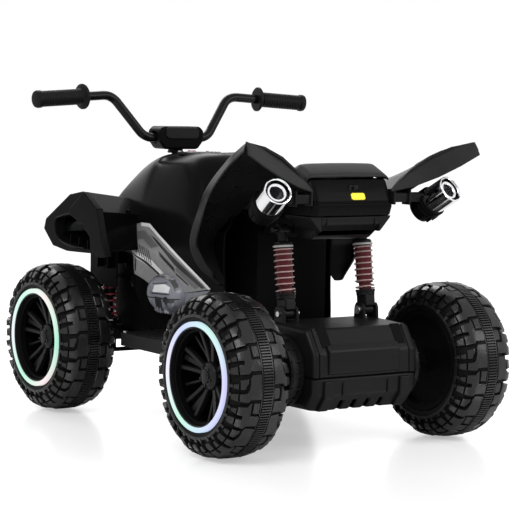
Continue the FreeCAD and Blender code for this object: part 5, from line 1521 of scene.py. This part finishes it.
# The left end pipe's outer end and its direction forward. Profiles are (radius, distance from that end).
PIPE_END = (-390.0, 196.0, 485.0)
PIPE_RUN = (0.845, -0.17, -0.507)
PIPE_TIP = [(22.0, 46.0), (22.0, 5.0), (22.6, 1.6), (24.0, 0.3), (25.4, 0.6), (26.3, 2.4), (26.3, 57.6),
            (22.0, 57.6)]
PIPE_CORE = [(13.0, 34.0), (13.0, 7.6), (14.2, 6.0), (17.6, 6.0), (18.6, 7.6), (18.6, 34.0)]
PIPE_FLOOR = [(0.0, 26.0), (22.0, 26.0), (22.0, 30.0), (0.0, 30.0)]
PIPE_CAN = [(26.6, 49.0), (28.6, 49.0), (29.8, 50.0), (29.8, 53.0), (28.8, 54.0), (28.8, 55.0), (29.8, 56.0),
            (29.8, 60.0), (28.8, 61.4), (28.8, 63.0), (29.8, 64.4), (28.0, 78.0), (25.0, 88.0), (19.0, 92.4),
            (10.0, 93.0), (0.0, 93.0), (0.0, 58.4), (26.6, 58.4)]
CAN_FINS = 10
PIPE_STRUT = [(-347, 458), (-348, 474), (-345, 476), (-334, 476), (-332, 474), (-332, 458)]


class QUAD_OT_exhausts(bpy.types.Operator):
    """Chrome end pipes in tapered cans on flanged struts"""
    bl_idname = "quad.exhausts"
    bl_label = "Exhausts"

    def execute(self, context):
        tips = Mould("chrome", "metal_black")
        # The cans' bodies are in the black with painted shade, so that they sink into the dark behind them.
        cans = Mould("inner", "frame")
        for name, side in SIDES:
            forward = Vector((PIPE_RUN[0], PIPE_RUN[1] * side, PIPE_RUN[2])).normalized()
            aim = pointing(Vector((PIPE_END[0], side * PIPE_END[1], PIPE_END[2])), forward)
            tips.spun(PIPE_TIP, 64, aim)
            tips.spun(PIPE_CORE, 56, aim)
            tips.spun(PIPE_FLOOR, 56, aim, 1)
            cans.spun(PIPE_CAN, 64, aim)
            fin = shaped(brick((-1.6, 1.6), (27.0, 31.0), (65.0, 80.0)), edge=0.8, rounds=2)
            for turn in range(CAN_FINS):
                cans.add(placed(fin.copy(), aim @ Matrix.Rotation(turn * 2 * math.pi / CAN_FINS, 4, "Z")))
            bpy.data.meshes.remove(fin)
            cans.add(prism(PIPE_STRUT, "y", *reach(side, 92.6, 184.0)), 1, edge=1.5)
            cans.add(brick((-352, -328), reach(side, 128.0, 132.0), (453, 482)), 1, edge=1.0)
            cans.add(brick((-351, -329), reach(side, 92.4, 97.0), (454, 479)), 1, edge=1.0)
        tips.release("end_pipes", "chassis", ["exhaust_tips"], 32)
        cans.release("pipe_cans", "chassis", ["exhaust_cans"], 34)
        return {"FINISHED"}


# Sides, handlebar and dash.

# Rings of a side cover's dome: y, half its length and half its height. Its marks are outlines as (x, z).
DOME = [(104.0, 67.0, 42.4), (118.0, 67.0, 42.4), (128.0, 66.0, 41.6), (137.0, 63.0, 39.0),
        (144.0, 57.0, 34.0), (148.6, 48.0, 27.0), (151.0, 35.0, 18.0), (152.0, 18.0, 9.0)]
DOME_BAND = [(112, 256), (52, 259), (50, 270), (68, 275), (106, 270)]
DOME_MARKS = [
    [(102, 216), (78, 216), (77, 247), (101, 248)], [(72, 239), (40, 239), (36, 248), (72, 247)],
    [(120, 252), (50, 255), (50, 257), (120, 254)], [(116, 273), (64, 279), (64, 277), (116, 271)],
    [(132, 224), (112, 216), (110, 222), (128, 230)],
]
DOME_KNOBS = [(128.0, 141.0, 238.0), (44.0, 141.0, 236.0), (112.0, 138.0, 222.0)]
PATCH_GRID = 6.0


def dome_arch():
    """The dark line over the dome, as short patches between two arcs."""
    outer = circle(62.0, 40, (90.0, 254.0), 39.0 / 62.0)[2:19]
    inner = circle(55.0, 40, (90.0, 253.6), 33.4 / 55.0)[2:19]
    return [list(corners) for corners in zip(outer, outer[1:], inner[1:], inner)]


class QUAD_OT_engine_covers(bpy.types.Operator):
    """Grey domed side covers with band, slot, ribs and knobs"""
    bl_idname = "quad.engine_covers"
    bl_label = "Engine covers"

    def execute(self, context):
        body = Mould("engine", "engine_pale", "decal_dark")
        dome = skin([at_y(circle(a, 64, COVER_AT, b / a), y) for y, a, b in DOME])
        slot = prism([(58, 214), (68, 214), (68, 250), (58, 250)], "y", 132.0, 160.0)
        groove = prism([(20, 247.4), (160, 241.4), (160, 243.4), (20, 249.4)], "y", 138.0, 160.0)
        whole = plain_mesh(dome)
        surface = surface_of(whole)
        bpy.data.meshes.remove(whole)
        body.both(dome, cuts=[slot, groove])
        for name, side in SIDES:
            body.add(placed(dropped(DOME_BAND, surface, 1, 0.5, PATCH_GRID), mirror_to(side)), 1)
            for outline in dome_arch() + DOME_MARKS:
                body.add(placed(dropped(outline, surface, 1, 0.6, PATCH_GRID), mirror_to(side)), 2)
        rib = shaped(prism([(0, 0), (2.4, 0), (2.4, 26), (0, 26)], "y", 134.0, 149.6), edge=0.6, rounds=2)
        ribs = in_row(rib, 2, (10.0, 0, 0), "engine")
        for name, side in SIDES:
            body.add(placed(ribs.copy(), mirror_to(side) @ Matrix.Translation(Vector((84, 0, 216)) * MM)))
            for x, y, z in DOME_KNOBS:
                knob = [(0.0, y + 6.5), (4.6, y + 6.0), (6.0, y + 4.0), (6.4, y - 6.0), (0.0, y - 6.0)]
                body.on_side(side, lathe(knob, 24, "y", (x, z)))
        bpy.data.meshes.remove(ribs)
        body.release("side_covers", "chassis", ["engine_covers"], 34)
        return {"FINISHED"}


# A grip's line on the left, from the bar's bend to its end, and the first and last of its ribs.
GRIP_BEND = (305.0, 143.0, 645.0)
GRIP_END = (287.0, 322.0, 634.0)
GRIP_LENGTH = 111.5
GRIP_RIBS = (13.0, 102)
GRIP_PITCH = 6.4
# The bar cover and its raised panel as (y, z), and the neck below it as (radius, z).
BAR_COVER = [(-45.0, 582.0), (-54.0, 573.0), (-54.0, 552.0), (-40.0, 534.4), (40.0, 534.4), (54.0, 552.0),
             (54.0, 573.0), (45.0, 582.0)]
BAR_PANEL = [(-36.0, 579.6), (-40.0, 575.0), (-40.0, 562.0), (-33.0, 556.0), (33.0, 556.0), (40.0, 562.0),
             (40.0, 575.0), (36.0, 579.6)]
BAR_NECK = [(8.2, 526.4), (16.0, 526.4), (16.6, 527.4), (16.6, 530.0), (15.6, 531.0), (15.6, 533.6),
            (16.8, 535.4), (16.8, 540.0), (8.2, 540.0)]


def grip_profile():
    """A collar, a row of ribs and a rounded end, as (radius, distance along the grip)."""
    profile = [(9.6, 0.2), (24.6, 0.2), (26.0, 1.4), (26.0, 4.6), (24.0, 6.4), (17.0, 8.6), (15.8, 10.0)]
    t, last = GRIP_RIBS
    while t < last:
        profile += [(15.0, t), (16.2, t + 1.2), (16.2, t + 3.4), (15.0, t + 4.6)]
        t += GRIP_PITCH
    profile += [(15.4, 104.0), (17.8, 106.0), (18.0, 112.0), (16.8, 115.4), (12.0, 116.8), (0.0, 117.0),
                (0.0, 112.2), (9.6, 112.2)]
    return profile


class QUAD_OT_handlebar(bpy.types.Operator):
    """Ribbed grips, the bar cover and its neck"""
    bl_idname = "quad.handlebar"
    bl_label = "Handlebar"

    def execute(self, context):
        grips = Mould("rubber")
        for name, side in SIDES:
            bend, end = [Vector((x, side * y, z)) for x, y, z in (GRIP_BEND, GRIP_END)]
            run = (end - bend).normalized()
            grips.spun(grip_profile(), 40, pointing(end - run * GRIP_LENGTH, run))
        grips.release("ribbed_grips", "steering", ["grips"], 32)
        cover = Mould("shell", "frame")
        bar_hole = rod("y", 9.7, (-70, 70), BAR_AT)
        column_hole = rod("z", 8.2, (520, 545), COLUMN_AT)
        cover.add(prism(BAR_COVER, "x", 256.2, 305.8), edge=5.0, rounds=4, cuts=[bar_hole, column_hole])
        cover.add(prism(BAR_PANEL, "x", 252.6, 258.0), 1, edge=2.0)
        cover.add(lathe(BAR_NECK, 40, "z", COLUMN_AT), 1)
        cover.release("bar_pad_cover", "steering", ["handlebar_cover"], 34)
        return {"FINISHED"}


# A foot rest's tray as (x, y), and the rows of ridges on the left one and beside the pedal on the right one.
TRAY = [(-80, 130), (-80, 224), (-72, 232), (97, 232), (105, 224), (105, 130), (99, 126), (-74, 126)]
TRAY_RIDGES = {"left": 7, "right": 3}
PEDAL_EAR = [(12, 178), (12, 190), (16, 194), (24, 194), (28, 190), (28, 178)]
PEDAL_EARS_Y = (-211.0, -149.0)


class QUAD_OT_foot_rests(bpy.types.Operator):
    """Foot rests with raised ridges, and the pedal's ears"""
    bl_idname = "quad.foot_rests"
    bl_label = "Foot rests"

    def execute(self, context):
        under = brick((-75, 100), (131, 227), (150, 174))
        for name, side in SIDES:
            body = Mould("frame")
            body.on_side(side, prism(TRAY, "z", 154.0, 180.0), edge=2.5, cuts=[under])
            body.on_side(side, brick((-60, 85), (80.4, 140), (146, 162)), edge=2.0)
            for x in (-42.0, 4.0, 50.0):
                body.on_side(side, brick((x, x + 3), (131, 227), (158, 175)), edge=0.6, rounds=2)
            ridge = shaped(brick((-62, -56), (138, 220), (178.5, 182.0)), edge=1.2, rounds=2)
            rows = in_row(ridge, TRAY_RIDGES[name], (24, 0, 0), "frame")
            if name == "right":
                for low in PEDAL_EARS_Y:
                    pin_hole = rod("y", 3.02, (low - 3, low + 9), PEDAL_PIN)
                    body.add(prism(PEDAL_EAR, "y", low, low + 6), edge=0.8, rounds=2, cuts=[pin_hole])
            body.add(placed(rows, mirror_to(side)))
            body.release("tread_board_" + name, "chassis", ["foot_rest_" + name], 34)
        return {"FINISHED"}


# The dash panel as (x, y), and the profiles of the button's ring, the button and the rocker.
DASH = [(105, -34), (111, -40), (209, -40), (215, -34), (215, 34), (209, 40), (111, 40), (105, 34)]
DASH_SLITS = 9
BUTTON_RING = [(9.6, 531.0), (12.0, 531.0), (12.4, 532.0), (11.6, 533.0), (9.6, 533.0)]
BUTTON = [(0.0, 535.3), (6.0, 535.2), (8.2, 534.6), (9.0, 533.2), (9.0, 528.4), (0.0, 528.4)]
ROCKER = [(139, 527.8), (139, 533.6), (142, 534.3), (150, 532.8), (158, 534.3), (161, 533.6), (161, 527.8)]


class QUAD_OT_dash(bpy.types.Operator):
    """Dash panel with its slits, the start button and the direction rocker"""
    bl_idname = "quad.dash"
    bl_label = "Dash"

    def execute(self, context):
        panel = Mould("frame", "metal_black", "steel")
        button_way = rod("z", 9.4, (520, 540), BUTTON_AT)
        rocker_way = brick((138, 162), (-22.5, -9.5), (520, 540))
        slit_field = prism([(112, 6), (112, 34), (160, 34), (160, 6)], "z", 529.4, 540)
        panel.add(prism(DASH, "z", 525.3, 531.3), edge=1.5, cuts=[button_way, rocker_way, slit_field])
        slit = shaped(brick((116, 118), (9, 31), (529.2, 530.6)), edge=0.4, rounds=1)
        panel.add(in_row(slit, DASH_SLITS, (5, 0, 0), "metal_black"), 1)
        panel.add(lathe(BUTTON_RING, 40, "z", BUTTON_AT), 2)
        panel.release("dash_plate", "chassis", ["dash_panel"], 34)
        cap = Mould("button")
        cap.add(lathe(BUTTON, 40, "z", BUTTON_AT))
        cap.release("start_cap", "start_button", ["start_button"], 34)
        rocker = Mould("switch")
        rocker.add(prism(ROCKER, "y", -22.0, -10.0), edge=0.8, rounds=2)
        rocker.release("rocker_cap", "direction_switch", ["direction_switch"], 34)
        return {"FINISHED"}


# The bumper's bar as (x, y), its grille as (y, z) and the lip below it as (x, z).
BUMPER = [(434, -100), (446, -124), (452, -124), (460, -98), (460, 98), (452, 124), (446, 124), (434, 100)]
GRILLE = [(-86, 255), (-86, 300), (-74, 312), (74, 312), (86, 300), (86, 255)]
GRILLE_SLOTS_Y = (-66.0, -37.0, -8.0, 21.0, 50.0)
BUMPER_LIP = [(441, 206), (446, 206), (436, 150), (431, 150)]


class QUAD_OT_bumper(bpy.types.Operator):
    """Front bumper bar with its grille, stays and lower lip"""
    bl_idname = "quad.bumper"
    bl_label = "Bumper"

    def execute(self, context):
        body = Mould("shell", "frame")
        body.add(prism(BUMPER, "z", 204, 258), edge=5.0, rounds=4)
        slots = [brick((430, 470), (y, y + 16), (270, 300)) for y in GRILLE_SLOTS_Y]
        body.add(prism(GRILLE, "x", 440, 452), edge=2.0, cuts=slots)
        for name, side in SIDES:
            body.add(brick((335.4, 440), reach(side, 38, 52), (212, 244)), 1, edge=2.0)
        body.add(prism(BUMPER_LIP, "y", -84, 84), 1, edge=1.0)
        body.release("bumper_bar", "chassis", ["front_bumper"], 34)
        return {"FINISHED"}


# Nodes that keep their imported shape, under the finish they get.
CARRIED = {
    # The tub under the body is in the black with painted shade.
    "inner": ["chassis_tub"],
    "frame": ["battery", "control_module", "accelerator_pedal"],
    "metal_black": ["handlebar", "steering_column", "front_beam", "knuckle_left", "knuckle_right", "tie_rod",
                    "swing_arm", "pivot_pins", "rear_axle", "drive_gear_left", "drive_gear_right"],
    "steel": ["screws", "shock_bolts", "motors"],
    "nylon": ["motor_pinion_left", "motor_pinion_right"],
}


class QUAD_OT_frame_finishes(bpy.types.Operator):
    """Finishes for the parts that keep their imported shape"""
    bl_idname = "quad.frame_finishes"
    bl_label = "Frame finishes"

    def execute(self, context):
        for tone, nodes in CARRIED.items():
            for node in nodes:
                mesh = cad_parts[node].data
                mesh.materials.clear()
                mesh.materials.append(finish(tone))
        return {"FINISHED"}


# Stage.

FLOOR_HALF = 40.0
FLOOR_MIRROR = 0.42
FLOOR_LIFT = 0.42
SKY = 0.42
# Name, place, aim, width, height and power of the area lamps, in metres and watts.
LAMPS = [
    ("key_lamp", (-1.6, 2.2, 2.4), (0, 0, 0.3), 2.2, 1.6, 70),
    ("back_lamp", (2.4, -0.6, 2.4), (0, 0, 0.3), 2.4, 1.2, 50),
    ("rear_lamp", (-2.6, -1.6, 1.6), (-0.2, 0, 0.3), 1.6, 1.6, 36),
]
# The camera of the photograph's view: place in metres, yaw, pitch and roll in radians, lens in millimetres.
CAMERA_PLACE = (-3.3120319, 2.192167, 0.6684384)
CAMERA_TURN = (-0.58964638, -0.08514005, 0.02031743)
CAMERA_LENS = 140.15
SENSOR_WIDTH = 36.0
WHITE = (1, 1, 1, 1)


def lamp(name, spot, aim, wide, tall, power):
    light = bpy.data.lights.new(name, "AREA")
    light.shape = "RECTANGLE"
    light.size = wide
    light.size_y = tall
    light.energy = power
    obj = bpy.data.objects.new(name, light)
    obj.location = spot
    obj.rotation_euler = (Vector(aim) - Vector(spot)).to_track_quat("-Z", "Y").to_euler()
    bpy.context.scene.collection.objects.link(obj)


def floor_finish(colour):
    """Pale floor with a soft mirror image, lifted to white where the camera sees it."""
    made = bpy.data.materials.new("studio_floor")
    made.use_nodes = True
    tree = made.node_tree
    link = tree.links.new
    shader = tree.nodes["Principled BSDF"]
    shader.inputs["Base Color"].default_value = (*colour, 1)
    shader.inputs["Roughness"].default_value = 0.9
    shader.inputs["Specular IOR Level"].default_value = 0.0
    mirror = node_in(tree, "ShaderNodeBsdfGlossy", (-200, -300), Roughness=0.20, Color=WHITE)
    mix = node_in(tree, "ShaderNodeMixShader", (200, 0), Fac=FLOOR_MIRROR)
    path = node_in(tree, "ShaderNodeLightPath", (-400, 500))
    glow = node_in(tree, "ShaderNodeEmission", (200, -300), Color=WHITE)
    share = node_in(tree, "ShaderNodeMath", (0, 500), operation="MULTIPLY")
    share.inputs[1].default_value = FLOOR_LIFT
    both = node_in(tree, "ShaderNodeAddShader", (400, 0))
    link(path.outputs["Is Camera Ray"], share.inputs[0])
    link(share.outputs["Value"], glow.inputs["Strength"])
    link(shader.outputs["BSDF"], mix.inputs[1])
    link(mirror.outputs["BSDF"], mix.inputs[2])
    link(mix.outputs["Shader"], both.inputs[0])
    link(glow.outputs["Emission"], both.inputs[1])
    link(both.outputs["Shader"], tree.nodes["Material Output"].inputs["Surface"])
    return made


def studio_world():
    """Dim light all around, but white to the camera, in reflections and through clear pieces."""
    world = bpy.data.worlds.new("studio")
    world.use_nodes = True
    tree = world.node_tree
    link = tree.links.new
    sky = tree.nodes["Background"]
    sky.inputs["Color"].default_value = WHITE
    sky.inputs["Strength"].default_value = SKY
    white = node_in(tree, "ShaderNodeBackground", (0, -200), Strength=1.0, Color=WHITE)
    path = node_in(tree, "ShaderNodeLightPath", (-400, 300))
    mix = node_in(tree, "ShaderNodeMixShader", (300, 0))
    seen = node_in(tree, "ShaderNodeMath", (-200, 300), operation="MAXIMUM")
    through = node_in(tree, "ShaderNodeMath", (0, 300), operation="MAXIMUM")
    link(path.outputs["Is Camera Ray"], seen.inputs[0])
    link(path.outputs["Is Glossy Ray"], seen.inputs[1])
    link(seen.outputs["Value"], through.inputs[0])
    link(path.outputs["Is Transmission Ray"], through.inputs[1])
    link(through.outputs["Value"], mix.inputs["Fac"])
    link(sky.outputs["Background"], mix.inputs[1])
    link(white.outputs["Background"], mix.inputs[2])
    link(mix.outputs["Shader"], tree.nodes["World Output"].inputs["Surface"])
    return world


def photo_camera():
    yaw, pitch, roll = CAMERA_TURN
    ahead = Vector((math.cos(yaw) * math.cos(pitch), math.sin(yaw) * math.cos(pitch), math.sin(pitch)))
    right = Vector((math.sin(yaw), -math.cos(yaw), 0))
    up = right.cross(ahead)
    x_axis = right * math.cos(roll) + up * math.sin(roll)
    y_axis = up * math.cos(roll) - right * math.sin(roll)
    camera = bpy.data.cameras.new("photo_camera")
    camera.sensor_width = SENSOR_WIDTH
    camera.lens = CAMERA_LENS
    camera.clip_end = 100
    view = bpy.data.objects.new("photo_camera", camera)
    turn = Matrix((x_axis, y_axis, -ahead)).transposed().to_4x4()
    view.matrix_world = Matrix.Translation(CAMERA_PLACE) @ turn
    bpy.context.scene.collection.objects.link(view)
    return view


class QUAD_OT_stage(bpy.types.Operator):
    """Pale floor, soft lamps and the camera"""
    bl_idname = "quad.stage"
    bl_label = "Stage"

    def execute(self, context):
        scene = context.scene
        scene.view_settings.view_transform = "Standard"
        ground = bpy.data.meshes.new("floor")
        far = FLOOR_HALF
        ground.from_pydata([(-far, -far, 0), (far, -far, 0), (far, far, 0), (-far, far, 0)], [],
                           [(0, 1, 2, 3)])
        floor = held_as(ground, "floor")
        ground.materials.append(floor_finish(scene.quad_colours.floor))
        scene.world = studio_world()
        for one in LAMPS:
            lamp(*one)
        scene.camera = photo_camera()
        return {"FINISHED"}


STEPS = [
    QUAD_OT_stage, QUAD_OT_wheels, QUAD_OT_shell, QUAD_OT_front_fenders, QUAD_OT_rear_fenders,
    QUAD_OT_seat, QUAD_OT_tail, QUAD_OT_axle_housing, QUAD_OT_rear_shocks, QUAD_OT_front_struts,
    QUAD_OT_exhausts, QUAD_OT_engine_covers, QUAD_OT_handlebar, QUAD_OT_foot_rests, QUAD_OT_dash,
    QUAD_OT_bumper, QUAD_OT_frame_finishes,
]


class QUAD_PT_panel(bpy.types.Panel):
    """Sizes, colours and build steps of the quad bike"""
    bl_idname = "QUAD_PT_panel"
    bl_label = "Quad Bike"
    bl_space_type = "VIEW_3D"
    bl_region_type = "UI"
    bl_category = "Quad Bike"

    def draw(self, context):
        for group in (context.scene.quad_sizes, context.scene.quad_colours):
            box = self.layout.box()
            for name in group.__annotations__:
                box.prop(group, name)
        for step in STEPS:
            self.layout.operator(step.bl_idname)


CLASSES = [QuadColours, QuadSizes, *STEPS, QUAD_PT_panel]


def register():
    for item in CLASSES:
        bpy.utils.register_class(item)
    bpy.types.Scene.quad_colours = PointerProperty(type=QuadColours)
    bpy.types.Scene.quad_sizes = PointerProperty(type=QuadSizes)


def unregister():
    del bpy.types.Scene.quad_colours
    del bpy.types.Scene.quad_sizes
    for item in reversed(CLASSES):
        bpy.utils.unregister_class(item)


def main():
    register()
    make_finishes(bpy.context.scene.quad_colours)
    for step in STEPS:
        group, name = step.bl_idname.split(".")
        getattr(getattr(bpy.ops, group), name)()
    bpy.context.view_layer.update()


if __name__ == "__main__":
    main()
